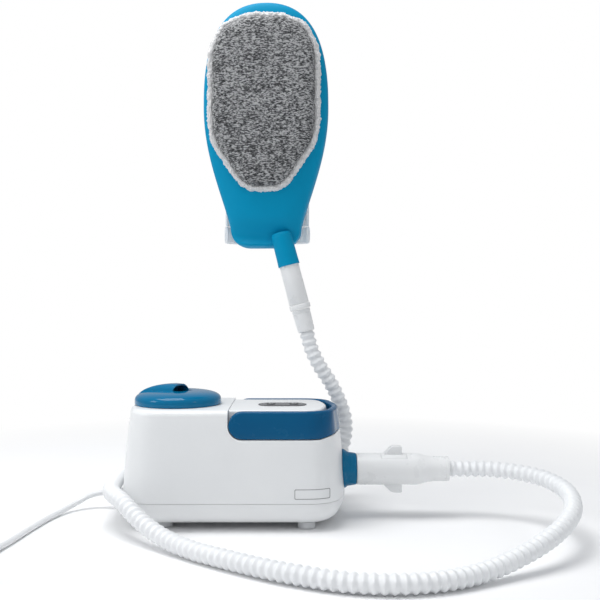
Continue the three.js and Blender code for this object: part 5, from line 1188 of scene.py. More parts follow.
@dataclass
class Studio:
    """The camera of the photograph, a pale floor and soft light.

    The camera's place is in millimetres from the base's middle, and its focal length and tilt are in pixels of the
    picture. The floor's fade and the soft boxes (name, place, side and power) are in metres and watts.
    """

    distance: float = 979.0
    height: float = 246.0
    side: float = 72.0
    focal: float = 887.0
    picture: float = 600.0
    tilt_rows: float = 6.0
    sensor: float = 36.0
    fade: tuple[float, float] = (0.42, 0.8)
    world_tint: Colour = (0.93, 0.96, 1.0)
    world_light: float = 0.47
    aim: Point = (0.0, 0.0, 0.15)
    boxes: Sequence[tuple[str, Point, float, float]] = (
        ("soft_box_above", (-0.35, -0.1, 1.6), 1.0, 19.0), ("soft_box_left", (-1.5, -0.7, 0.9), 0.5, 6.0),
        ("soft_box_right", (1.4, -1.2, 1.0), 0.35, 2.2))

    def camera(self) -> None:
        """Sets up the camera."""
        data = bpy.data.cameras.new("portrait_camera")
        data.sensor_width = self.sensor
        data.lens = self.focal / self.picture * self.sensor
        data.clip_start = 0.01
        camera = Bench.linked("portrait_camera", data)
        level = math.pi / 2 - math.atan(self.tilt_rows / self.focal)
        place = Matrix.Translation(spot(self.side, -self.distance, self.height))
        camera.matrix_world = place @ Matrix.Rotation(level, 4, "X")
        bpy.context.scene.camera = camera

    def floor(self) -> None:
        """Adds the floor, whose far parts fade into the white behind."""
        Bench.clear()
        bpy.ops.mesh.primitive_plane_add(size=8, location=(0, 0, 0))
        floor = bpy.context.object
        floor.name = "studio_floor"
        graph = Graph(floor.name)
        x, y, _ = graph.axes(graph.place())
        reach = (x * x + y * y) ** 0.5
        rays = graph.node("ShaderNodeLightPath").socket.node.outputs
        seen = Sock(graph, rays["Is Camera Ray"]) + Sock(graph, rays["Is Glossy Ray"])
        share = seen.over(0, 1) * reach.over(*self.fade)
        mottle = graph.noise(graph.place(), 9.0)
        base = graph.node("ShaderNodeBsdfPrincipled", None, {
            "Base Color": graph.blend(mottle, (0.93, 0.93, 0.93), (0.90, 0.90, 0.905)), "Roughness": 0.6,
            "Specular IOR Level": 0.2})
        glow = graph.node("ShaderNodeEmission", None, {"Color": (1, 1, 1, 1), "Strength": 1.0})
        mixed = graph.node("ShaderNodeMixShader", None, {0: share, 1: base, 2: glow})
        graph.output(mixed)
        floor.data.materials.append(graph.material)

    def light(self) -> None:
        """Adds the even world and the soft boxes."""
        scene = bpy.context.scene
        scene.view_settings.view_transform = "Standard"
        world = bpy.data.worlds.new("studio_world")
        scene.world = world
        world.use_nodes = True
        tree = world.node_tree
        tree.nodes.clear()
        rays = tree.nodes.new("ShaderNodeLightPath")
        seen = tree.nodes.new("ShaderNodeMath")
        seen.operation = "MAXIMUM"
        mix = tree.nodes.new("ShaderNodeMixShader")
        out = tree.nodes.new("ShaderNodeOutputWorld")
        for place, (tint, strength) in enumerate(((self.world_tint, self.world_light), ((1, 1, 1), 1.0)), 1):
            glow = tree.nodes.new("ShaderNodeBackground")
            glow.inputs["Color"].default_value = (*tint, 1)
            glow.inputs["Strength"].default_value = strength
            tree.links.new(glow.outputs[0], mix.inputs[place])
        tree.links.new(rays.outputs["Is Camera Ray"], seen.inputs[0])
        tree.links.new(rays.outputs["Is Transmission Ray"], seen.inputs[1])
        tree.links.new(seen.outputs[0], mix.inputs[0])
        tree.links.new(mix.outputs[0], out.inputs[0])
        for name, place, size, power in self.boxes:
            self._box(name, place, size, power)

    def _box(self, name: str, place: Point, size: float, power: float) -> None:
        """One square soft box."""
        data = bpy.data.lights.new(name, "AREA")
        data.shape = "SQUARE"
        data.size = size
        data.energy = power
        lamp = Bench.linked(name, data)
        lamp.location = place
        lamp.rotation_euler = (Vector(self.aim) - Vector(place)).to_track_quat("-Z", "Y").to_euler()


@dataclass
class Outlet:
    """The steam outlet at the right end: its collar, the connector pushed into it and the two latches."""

    height: float = 53.0
    collar_end: float = 134.0
    collar_root_radius: float = 21.8
    collar_end_radius: float = 17.25
    radius: float = 17.2
    taper_start: float = 201.0
    neck_start: float = 215.0
    neck_radius: float = 13.6
    end: float = 236.0
    latch_low: float = 10.5
    latch_high: float = 13.0
    pad_start: float = 161.0
    pad_end: float = 189.0
    pad_half_width: float = 10.7
    arm_half_width: float = 4.0
    pivot: float = 196.0
    fin_start: float = 164.7
    fin_end: float = 184.4
    fin_height: float = 8.3

    def axis(self) -> Axis:
        """The outlet's axis, with heights along it counted as X on the base's drawing."""
        return Axis(spot(0, 0, self.height), Vector((1, 0, 0)), Vector((0, 0, 1)))

    def build(self, form: "BodyForm", fitter: "Fitter") -> None:
        """Models the collar, the connector and the latches."""
        finishes = fitter.finishes
        fitter.fit(self._collar(form), ["outlet_collar"], finishes.collar, Slot.BLUE)
        fitter.fit(self._connector(), ["hose_connector"], finishes.fitting, Slot.WHITE)
        for way, side in ((1, "upper"), (-1, "lower")):
            fitter.fit(self._latch(way, f"{side}_latch"), [f"latch_{side}"], finishes.fitting, Slot.WHITE)

    def _collar(self, form: "BodyForm") -> bpy.types.Object:
        """The flared blue collar, trimmed where it meets the end wall."""
        root, end = self.collar_root_radius, self.collar_end_radius
        profile = [(16.0, 112), (root, 112), (root, 119), (root - 0.25, 120.3), (root - 1, 121.6), (root - 2.9, 124)]
        for k in range(1, 6):
            share = k / 6
            profile.append((lerp(root - 2.9, end + 0.2, share ** 0.7), lerp(124, 132.5, share)))
        profile += [(end, 133.3), (end - 0.4, 133.8), (end - 1.0, self.collar_end), (13.9, self.collar_end),
                    (13.9, 131), (16.0, 131)]
        collar = Bench.turned("steam_collar", profile, self.axis(), 96)
        return Bench.carve(collar, form.solid("collar_trim", form.seam, form.top, high_edge=form.top_edge, inset=-GAP))

    def _connector(self) -> bpy.types.Object:
        """The round connector with the room that its latches swing in."""
        start, end, r, neck = self.collar_end + GAP, self.end, self.radius, self.neck_radius
        profile = [(7.3, start), (r - 0.9, start), (r - 0.3, start + 0.3), (r, start + 0.9)]
        profile += [(r, lerp(start + 4, self.taper_start - 3, k / 4)) for k in range(5)]
        for k in range(7):
            share = k / 6
            profile.append((lerp(r, neck + 0.4, ease(share)), lerp(self.taper_start - 1.5, self.neck_start, share)))
        profile += [(neck, self.neck_start + 1.5), (neck, end - 5), (neck - 0.5, end - 4.6), (neck - 0.5, end - 4.0),
                    (neck, end - 3.6), (neck, end - 1.0), (neck - 0.3, end - 0.3), (neck - 1.0, end), (6.0, end),
                    (6.0, 205.3), (7.3, 205.3)]
        body = Bench.turned("connector_body", profile, self.axis(), 96)
        for way in (1, -1):
            body = Bench.carve(body, *self._rooms(way))
        return body

    def _level(self, way: int, low: float, high: float) -> tuple[float, float]:
        """Two heights over the axis, turned over for the lower side."""
        ends = (self.height + way * low, self.height + way * high)
        return min(ends), max(ends)

    def _rooms(self, way: int) -> list[bpy.types.Object]:
        """The channel of a latch's arm and the window of its pad."""
        arm, pad = self.arm_half_width + GAP, self.pad_half_width + GAP
        low, high = self._level(way, self.latch_low - 2.9, self.latch_high + GAP)
        channel = Bench.block("latch_channel", (self.collar_end - 5, -arm, low), (self.pivot, arm, high))
        low, high = self._level(way, self.latch_low - 2.0, 30)
        window = Bench.block("latch_window", (self.pad_start - GAP, -pad, low), (self.pad_end + GAP, pad, high))
        return [channel, window]

    def _latch(self, way: int, name: str) -> bpy.types.Object:
        """One latch: its arm and hook, its pad with the connector's own curve, and the fin that fingers press."""
        low, high, hook = self.latch_low, self.latch_high, self.collar_end - 3.3
        arm = [(hook - 3, low), (self.pivot, low), (self.pivot, high), (hook, high), (hook, high + 2.2),
               (hook - 1.5, high + 2.2), (hook - 3, high + 0.8)]
        bar = self._across(f"{name}_arm", arm, self.arm_half_width, way)
        pad = Bench.rod(name, self.radius, self.pad_start, self.pad_end, self.axis(), 96)
        bottom, top = self._level(way, low, 30)
        keep = Bench.block("pad_keep", (100, -self.pad_half_width, bottom), (220, self.pad_half_width, top))
        pad = Bench.soften(Bench.carve(pad, keep, how="INTERSECT"), 0.5, 3, 50)
        skin, crest, start, end = self.radius, self.radius + self.fin_height, self.fin_start, self.fin_end
        fin = [(start, skin - 1.5), (end, skin - 1.5), (end, crest - 1.6), (end - 0.5, crest - 0.5),
               (end - 1.6, crest), (start + 11, crest), (start + 8.6, crest - 0.35), (start + 6.8, crest - 1.4),
               (start, skin + 0.4)]
        ridge = Bench.soften(self._across(f"{name}_fin", fin, 5.0, way), 0.9, 3, 50)
        barrel = Axis(spot(self.pivot, -5.6, self.height + way * (low + high) / 2), Vector((0, 1, 0)),
                      Vector((1, 0, 0)))
        pin = Bench.rod(f"{name}_pin", 2.2, 0, 11.2, barrel, 32)
        return Bench.carve(pad, ridge, bar, pin, how="UNION")

    def _across(self, name: str, outline: Sequence[tuple[float, float]], half: float, way: int) -> bpy.types.Object:
        """An outline of X and height over the axis, carried across the middle."""
        places = [spot(x, -half, self.height + way * up) for x, up in outline]
        return Bench.prism(name, places, Vector((0, 2 * half * MM, 0)))


@dataclass
class TankCap:
    """The glossy cap: a low dome with a taller hood behind a hollow for a finger."""

    centre: float = -62.5
    radius: float = 47.5
    height: float = 13.0
    roundness: float = 3.5
    base: float = 127.0
    rim: float = 125.3
    hood_height: float = 20.0
    hood_roundness: float = 2.3
    hood_end: float = 4.0
    hood_half_width: float = 13.8
    hood_tail: float = 36.0
    turn: float = -40.0
    pocket_width: float = 21.0
    pocket_depth: float = 16.0
    mouth: float = 9.0
    floor: float = 138.0

    def _axis(self) -> Axis:
        """The cap's upright axis, with heights counted from the floor."""
        return Axis.upright(self.centre, 0)

    def _dome(self, radius: float, height: float, roundness: float) -> list[tuple[float, float]]:
        """The outside of a dome from its top down to its edge."""
        angles = [k / 20 * math.pi / 2 for k in range(21)]
        power = 2 / roundness
        return [(radius * math.sin(a) ** power, self.base + height * max(math.cos(a), 0.0) ** power)
                for a in angles]

    def build(self, fitter: "Fitter") -> None:
        """Models the cap's cover and the plug insert under it."""
        ceiling = self.floor - 2.5
        shell = self._dome(self.radius, self.height, self.roundness)
        shell += [(self.radius - 0.1, self.rim + 0.6), (self.radius - 0.7, self.rim), (45.0, self.rim),
                  (44.0, 131), (33.5, 134.5), (27.7, ceiling), (0, ceiling)]
        cap = Bench.turned("tank_cap_body", shell, self._axis(), 128)
        tall = self._dome(self.radius - 0.2, self.hood_height, self.hood_roundness) + [(0, self.base)]
        hood = Bench.turned("cap_hood", tall, self._axis(), 128)
        Bench.carve(hood, self._ridge(), how="INTERSECT")
        half, spring = self.pocket_width / 2, self.floor + 3
        rise = self.base + self.hood_height - 1.6 - spring
        arch = [(-half, self.floor), (half, self.floor), (half, spring)]
        arch += [(half * math.cos(a), spring + rise * math.sin(a)) for a in np.linspace(0, math.pi, 22)[1:-1]]
        arch.append((-half, spring))
        start = self.hood_end - self.pocket_depth
        places = [self._turned((start, y, z)) for y, z in arch]
        travel = self._turned((self.hood_end + 1, 0, 0)) - self._turned((start, 0, 0))
        tunnel = Bench.prism("cap_tunnel", places, travel)
        near, far = self.hood_end, self.hood_end + self.mouth
        plan = ((near, -half), (far, -half), (far, half), (near, half))
        corners = [self._turned((x, y, self.floor)) for x, y in plan]
        notch = Bench.prism("cap_notch", corners, Vector((0, 0, (170 - self.floor) * MM)))
        Bench.carve(cap, hood, how="UNION")
        room = [(0, 120), (34.2, 120), (34.2, 134.5), (28.4, ceiling), (0, ceiling)]
        Bench.carve(cap, tunnel, notch, Bench.turned("plug_room", room, self._axis(), 96))
        Bench.soften(cap, 0.7, 3, 42)
        fitter.fit(cap, ["tank_cap"], fitter.finishes.cap, Slot.CAP, 48)
        plug = [(24.9, 113.5), (26.9, 113.5), (27.4, 114.2), (27.4, 130.3), (32.9, 130.3), (33.2, 130.6),
                (33.2, 134.2), (27.4, 135.2), (24.9, 135.2)]
        fitter.fit(Bench.turned("cap_insert", plug, self._axis(), 96), ["cap_plug"], fitter.finishes.fitting,
                   Slot.WHITE, 40)

    def _ridge(self) -> bpy.types.Object:
        """The hood's arched block, narrow at its mouth and wide at its tail."""
        rows, low, rise = [], self.base + 5, self.hood_height - 4.6
        for share in np.linspace(0, 1, 9):
            half, x = lerp(self.hood_half_width, self.hood_tail, share), lerp(self.hood_end, -60, share)
            row = []
            for angle in np.linspace(0, math.pi, 33):
                up = max(math.sin(angle), 0.0)
                row.append(self._turned((x, half * signed(math.cos(angle), 0.9), low + rise * up ** 0.9)))
            rows.append([*row, row[0]])
        return Bench.sheet("hood_ridge", rows, merge=2e-6, fill=True)

    def _turned(self, place: Point) -> Vector:
        """A point of the cap's own drawing, turned as the cap stands."""
        x, y, z = Matrix.Rotation(math.radians(self.turn), 3, "Z") @ Vector(place)
        return spot(self.centre + x, y, z)


@dataclass
class CarryHandle:
    """The bail round the right half of the top, and the room in the housing that it lies in."""

    form: BodyForm
    pivot: float = 12.0
    top: float = 124.0
    radius: float = 14.2
    thickness: float = 7.0
    edge: float = 3.0
    play: float = 1.0
    finger_gap: float = 5.5
    end_rise: float = 4.4
    rise_from: float = 92.0
    stations: int = 240

    @property
    def pivot_height(self) -> float:
        """Height of the pivot."""
        return self.top - self.radius

    def room(self, grow: float) -> bpy.types.Object:
        """The housing's recess as a cutter, grown all round."""
        reach = self.radius + self.play + grow
        floor, high, far = self.pivot_height - reach, 160.0, 150.0
        outline = [(self.pivot - reach, high)]
        outline += [(self.pivot + reach * math.cos(a), self.pivot_height + reach * math.sin(a))
                    for a in np.linspace(math.pi, 1.5 * math.pi, 17)]
        outline += [(self.rise_from, floor), (self.form.top_length / 2, floor + self.end_rise),
                    (far, floor + self.end_rise), (far, high)]
        places = [spot(x, -90, z) for x, z in outline]
        return Bench.prism("handle_room", places, Vector((0, 180 * MM, 0)))

    def _low(self, x: float) -> float:
        """Height of the bail's lower edge at an X."""
        share = clamp((x - self.rise_from) / (self.form.top_length / 2 - self.rise_from))
        return self.pivot_height - self.radius + self.end_rise * share

    def build(self, fitter: "Fitter") -> None:
        """Sweeps the rounded section round the form and adds the pivot bosses."""
        outline = self.form.outline(self.top, 0.0, self.stations)
        normals = outward(outline)
        order = range(-self.stations // 2, self.stations // 2)
        bend = [(outline[k], normals[k]) for k in order if outline[k][0] > self.pivot + 1.5]
        half = self.form.half_width(self.top)
        caps = [self.pivot + 1.5 - (self.radius + 1.5) * math.sin(a) for a in np.linspace(0, math.pi / 2, 16)]
        front = [(np.array([x, -half]), np.array([0.0, -1.0])) for x in reversed(caps)]
        rear = [(np.array([x, half]), np.array([0.0, 1.0])) for x in caps]
        rows = [self._section(place, normal) for place, normal in [*front, *bend, *rear]]
        bail = Bench.sheet("carry_bail", rows, merge=2e-6)
        face = self.form.half_width(self.pivot_height) - self.thickness
        for side in (-1, 1):
            axis = Axis(spot(self.pivot, 0, self.pivot_height), Vector((0, side, 0)), Vector((0, 0, 1)))
            near, far = face - self.finger_gap + 1.2, face + 2
            boss = Bench.turned("pivot_boss", [(0, near), (6.0, near), (6.5, near + 0.5), (6.5, far), (0, far)],
                                axis, 48)
            Bench.carve(bail, boss, how="UNION")
            Bench.carve(bail, Bench.rod("pivot_bore", 3.8, near - 1, face + 4.8, axis))
        fitter.fit(bail, ["carry_handle"], fitter.finishes.handle, Slot.BLUE, 40)

    def _section(self, place: np.ndarray, normal: np.ndarray) -> list[Vector]:
        """One closed ring of the bail's rounded section at a station."""
        x = float(place[0])
        low, high = self._low(x), self.top
        if x < self.pivot:
            reach = math.sqrt(max(self.radius ** 2 - (x - self.pivot) ** 2, 0.0))
            low, high = self.pivot_height - reach, self.pivot_height + reach
        round_top = min(self.edge, (high - low) / 2)
        round_low = min(1.2, (high - low) / 2)
        points = quarters((round_top, high - round_top, round_top, 90), (round_low, low + round_low, round_low, 180),
                          (self.thickness - round_low, low + round_low, round_low, 270),
                          (self.thickness - round_top, high - round_top, round_top, 0))
        ring = [self._shifted(place, normal, inward, z) for inward, z in points]
        return [*ring, ring[0]]

    def _shifted(self, place: np.ndarray, normal: np.ndarray, inward: float, z: float) -> Vector:
        """A point drawn in from the form's top outline, and let out with the form's own taper lower down."""
        wide = self.form.half_width(z) - self.form.half_width(self.top)
        long = self.form.half_length(z) - self.form.half_length(self.top)
        out = normal[1] ** 2 * wide + normal[0] ** 2 * long - inward
        return spot(place[0] + normal[0] * out, place[1] + normal[1] * out, z)


@dataclass
class SteamBase:
    """The table-top base: housing, tray, deck, panel, buttons, lamps and feet."""

    form: BodyForm
    handle: CarryHandle
    cap: TankCap
    outlet: Outlet
    wall: float = 2.5
    underside: float = 7.0
    deck_inset: float = 12.5
    panel_x: float = 52.7
    panel_y: float = -2.0
    button_spacing: float = 25.3
    lamp_spacing: float = 8.5
    panel_half_length: float = 26.5
    panel_half_width: float = 13.0
    lead_exit: tuple[float, float] = (38.0, 18.0)
    plate_sides: tuple[float, float] = (66.4, 103.3)
    plate_edges: tuple[float, float] = (34.9, 45.1)
    plate_radius: float = 1.3
    plate_depth: tuple[float, float] = (-90.0, -30.0)
    feet: Sequence[tuple[str, float, float]] = (
        ("foot_front_right", 79, -46), ("foot_front_left", -72, -40), ("foot_rear_right", 79, 46),
        ("foot_rear_left", -72, 40))

    def build(self, fitter: "Fitter") -> None:
        """Models every shell of the base."""
        finishes = fitter.finishes
        fitter.fit(self._housing(), ["housing_shell"], finishes.shell, Slot.WHITE, 30)
        fitter.fit(self._tray(), ["base_tray"], finishes.tray, Slot.WHITE, 30)
        fitter.fit(self._deck(), ["control_deck"], finishes.shell, Slot.WHITE, 30)
        self._controls(fitter)
        for name, x, y in self.feet:
            profile = [(0, 0), (7.6, 0), (8.6, 0.3), (9.15, 0.9), (9.35, 1.8), (9.35, 7.5), (0, 7.5)]
            foot = Bench.turned(f"round_{name}", profile, Axis.upright(x, y), 64)
            fitter.fit(foot, [name], finishes.foot, Slot.RUBBER)
        self.handle.build(fitter)
        self.cap.build(fitter)
        self.outlet.build(self.form, fitter)
        self._plate_line(fitter)

    def _plate_line(self, fitter: "Fitter") -> None:
        """The thin line round the bare name plate low on the front."""
        line = self.form.solid("plate_line", 32, 48, inset=-0.2)
        Bench.carve(line, self.form.solid("plate_core", 31, 49, inset=-0.01))
        Bench.carve(line, self._plate("plate_outside", 0.0), how="INTERSECT")
        Bench.carve(line, self._plate("plate_inside", 0.6))
        fitter.paint(line, fitter.finishes.line)
        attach(line, fitter.nodes["housing_shell"]["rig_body"])

    def _plate(self, name: str, inset: float) -> bpy.types.Object:
        """The plate's rounded outline carried through the front wall."""
        radius = self.plate_radius - inset / 2
        left, right = self.plate_sides[0] + inset + radius, self.plate_sides[1] - inset - radius
        low, high = self.plate_edges[0] + inset + radius, self.plate_edges[1] - inset - radius
        points = quarters((right, low, radius, -90), (right, high, radius, 0), (left, high, radius, 90),
                          (left, low, radius, 180))
        front, back = self.plate_depth
        return Bench.prism(name, [spot(x, front, z) for x, z in points], Vector((0, (back - front) * MM, 0)))

    def _housing(self) -> bpy.types.Object:
        """The upper shell with the handle's recess, hollow inside and open below."""
        shell = self.form.solid("housing_body", self.form.seam, self.form.top, high_edge=self.form.top_edge)
        Bench.carve(shell, self.handle.room(0))
        Bench.soften(shell, 0.6, 3, 50)
        inside = self.form.solid("housing_room", self.form.seam - 3, self.form.top - self.wall, high_edge=3.5,
                                 inset=self.wall)
        Bench.carve(inside, self.handle.room(self.wall))
        neck = Bench.rod("neck_hole", 31.6, 110, 130, Axis.upright(self.cap.centre, 0), 72)
        hole = Bench.rod("outlet_hole", 11.3, 105, 130, self.outlet.axis())
        window = Bench.block("deck_window", (self.handle.pivot + 4, -36, 84.6), (self.handle.rise_from - 6, 36, 124))
        return Bench.carve(shell, inside, neck, hole, window)

    def _tray(self) -> bpy.types.Object:
        """The lower shell, its seats for the feet and the lead's hole."""
        tray = self.form.solid("tray_body", self.underside, self.form.seam - GAP, low_edge=20)
        room = self.form.solid("tray_room", self.underside + self.wall, self.form.seam + 2, low_edge=17.5,
                               inset=self.wall)
        seats = [Bench.rod("foot_seat", 9.65, 5, 7.8, Axis.upright(x, y), 64) for _, x, y in self.feet]
        along = Axis(spot(0, *self.lead_exit), Vector((-1, 0, 0)), Vector((0, 0, 1)))
        return Bench.carve(tray, room, *seats, Bench.rod("lead_hole", 6.8, 90, 130, along, 40))

    def _deck(self) -> bpy.types.Object:
        """The inner block that the handle goes round, with the panel's seat."""
        deck = self.form.solid("deck_body", 80, 124, high_edge=2.5, inset=self.deck_inset)
        Bench.carve(deck, self.handle.room(-GAP), how="INTERSECT")
        seat = Bench.prism("panel_seat", self._stadium(GAP, 122.8), Vector((0, 0, 3 * MM)))
        Bench.soften(deck, 0.6, 3, 50)
        return Bench.carve(deck, seat)

    def _stadium(self, grow: float, z: float) -> list[Vector]:
        """The panel's outline, grown all round."""
        reach, radius = self.panel_half_length - self.panel_half_width, self.panel_half_width + grow
        angles = [*np.linspace(-math.pi / 2, math.pi / 2, 33), *np.linspace(math.pi / 2, 1.5 * math.pi, 33)]
        sides = [1] * 33 + [-1] * 33
        return [spot(self.panel_x + side * reach + radius * math.cos(a), self.panel_y + radius * math.sin(a), z)
                for side, a in zip(sides, angles)]

    def _controls(self, fitter: "Fitter") -> None:
        """The panel plate, its two buttons and their lamps."""
        finishes = fitter.finishes
        plate = Bench.prism("panel_plate", self._stadium(0, 123.1), Vector((0, 0, 1.8 * MM)))
        Bench.soften(plate, 0.35, 3, 50)
        middles = [self.panel_x - self.button_spacing / 2, self.panel_x + self.button_spacing / 2]
        lamp_y = self.panel_y + self.lamp_spacing
        for x in middles:
            for radius, y in ((5.3, self.panel_y), (2.1, lamp_y)):
                Bench.carve(plate, Bench.rod("panel_hole", radius, 100, 140, Axis.upright(x, y)))
        fitter.fit(plate, ["control_panel"], finishes.panel, Slot.DARK, 30)
        signs = (finishes.steam_sign, finishes.power_sign)
        for name, x, sign in zip(("steam", "power"), middles, signs):
            profile = [(0, 112.8), (4, 112.8), (4, 124.1), (5, 124.1), (5, 125.3), (4.85, 125.65), (4.4, 125.9),
                       (3.0, 125.8), (0, 125.7)]
            button = Bench.turned(f"{name}_button_cap", profile, Axis.upright(x, self.panel_y), 64)
            fitter.fit(button, [f"{name}_button"], sign, Slot.DARK)
            profile = [(0, 123.1), (1.8, 123.1), (1.8, 124.9), (1.5, 125.2), (0.8, 125.45), (0, 125.5)]
            lens = Bench.turned(f"{name}_lamp_lens", profile, Axis.upright(x, lamp_y), 40)
            fitter.fit(lens, [f"{name}_lamp"], finishes.lens, Slot.LENS)


@dataclass
class GloveForm:
    """The glove's pillow form: its outline seen from the front, and its depth at each place on it."""

    height: float = 290.5
    half_width: float = 74.5
    widest: float = 168.0
    heel_half_width: float = 42.0
    heel: float = 23.0
    roundness: float = 2.55
    corner: float = 22.0
    front: float = 22.0
    back: float = 16.0
    valley: float = 12.0
    valley_depth: float = 11.0
    valley_reach: float = 15.0
    section_roundness: float = 2.6
    lip: float = 6.0
    middle: float = 150.0
    back_corner: float = 2.5

    def half(self, z: float) -> float:
        """Half width at a height over the lower edge."""
        if z > self.widest:
            share = clamp((z - self.widest) / (self.height - self.widest))
            return self.half_width * (1 - share ** self.roundness) ** (1 / self.roundness)
        rise = clamp((z - self.heel) / (self.widest - self.heel))
        side = lerp(self.heel_half_width, self.half_width, math.sin(rise * math.pi / 2) ** 1.15)
        low = clamp(self.corner - z, 0, self.corner)
        return side - (self.corner - math.sqrt(self.corner ** 2 - low * low))

    def depth(self, x: float, z: float) -> float:
        """How far the front stands before the middle plane."""
        half = max(self.half(z), 0.01)
        ratio = clamp(half / self.half_width)
        over = 1.0 if z > self.widest else 0.2
        dip = self.valley_depth * math.exp(-(((z - self.valley) / self.valley_reach) ** 2)
                                           * (3.5 if z < self.valley else 1))
        across = (1 - clamp(abs(x) / half) ** self.section_roundness) ** (1 / self.section_roundness)
        lip = math.sqrt(1 - (1 - clamp(z / self.lip)) ** 2)
        return max((self.front * math.sqrt(ratio) ** over - dip) * across * lip, 0.0)

    def outline(self, inset: float, count: int = 180) -> list[tuple[float, float]]:
        """Evenly spaced points of the outline seen from the front, drawn in by an inset."""
        right = [(20.0 * k / 4, 0.0) for k in range(4)]
        right += [(self.half(z), z) for z in np.concatenate([
            22 * (1 - np.cos(np.linspace(0, math.pi / 2, 16))), np.linspace(23, self.widest, 60)[1:],
            lerp(self.widest, self.height, np.sin(np.linspace(0, math.pi / 2, 60)[1:]))])]
        line = np.array(right + [(-x, z) for x, z in right[::-1][1:]])
        even = evenly(line, count)
        return [tuple(p) for p in even - outward(even) * inset]

    def solid(self, name: str, inset: float, back: float) -> bpy.types.Object:
        """The form as a closed solid, drawn in all round, whose back plane can stand further out."""
        edge = self.outline(inset)
        scale = (self.half_width - inset) / self.half_width
        rows = []
        for turn in np.linspace(0, math.pi / 2, 46):
            share = math.sin(turn)
            row = []
            for x, z in edge:
                px, pz = x * share, self.middle + (z - self.middle) * share
                depth = self.depth(px / scale, clamp(pz, 0, self.height))
                row.append(glove_spot(px, -max(depth - inset, 0.0), pz))
            rows.append([*row, row[0]])
        for y in (4.0, 8.0, back - self.back_corner):
            rows.append([glove_spot(x, y, z) for x, z in (*edge, edge[0])])
        for turn in (30, 60, 90):
            angle = math.radians(turn)
            drawn = self.outline(inset + self.back_corner * (1 - math.cos(angle)))
            y = back - self.back_corner * (1 - math.sin(angle))
            rows.append([glove_spot(x, y, z) for x, z in (*drawn, drawn[0])])
        return Bench.sheet(name, rows, merge=3e-6, fill=True)


def oval(half_width: float, half_height: float, roundness: float, grow: float,
         count: int) -> list[tuple[float, float]]:
    """Points of a rounded oval seen from the front, grown along its normals."""
    points = []
    for k in range(count):
        angle = k / count * math.tau
        x = half_width * signed(math.cos(angle), 2 / roundness)
        z = half_height * signed(math.sin(angle), 2 / roundness)
        out = Vector((signed(x / half_width, roundness - 1) / half_width,
                      signed(z / half_height, roundness - 1) / half_height)).normalized()
        points.append((x + out.x * grow, z + out.y * grow))
    return points


def cut_oval(half_width: float, half_height: float, grow: float, count: int) -> list[tuple[float, float]]:
    """Points of the pad's outline, a tall shape with slanting corners, grown along its normals."""
    right, cut = [(0.34, -1.0), (1.0, -0.42), (1.0, 0.62), (0.74, 0.90), (0.30, 1.0)], 0.13
    line = np.array([*right, *((-x, z) for x, z in reversed(right))]) * (half_width, half_height)
    for _ in range(3):
        after = np.roll(line, -1, 0)
        line = np.stack([line * (1 - cut) + after * cut, line * cut + after * (1 - cut)], 1).reshape(-1, 2)
    even = evenly(np.vstack([line, line[:1]]), count)
    return [(float(x), float(z)) for x, z in even + outward(even, 2) * grow]


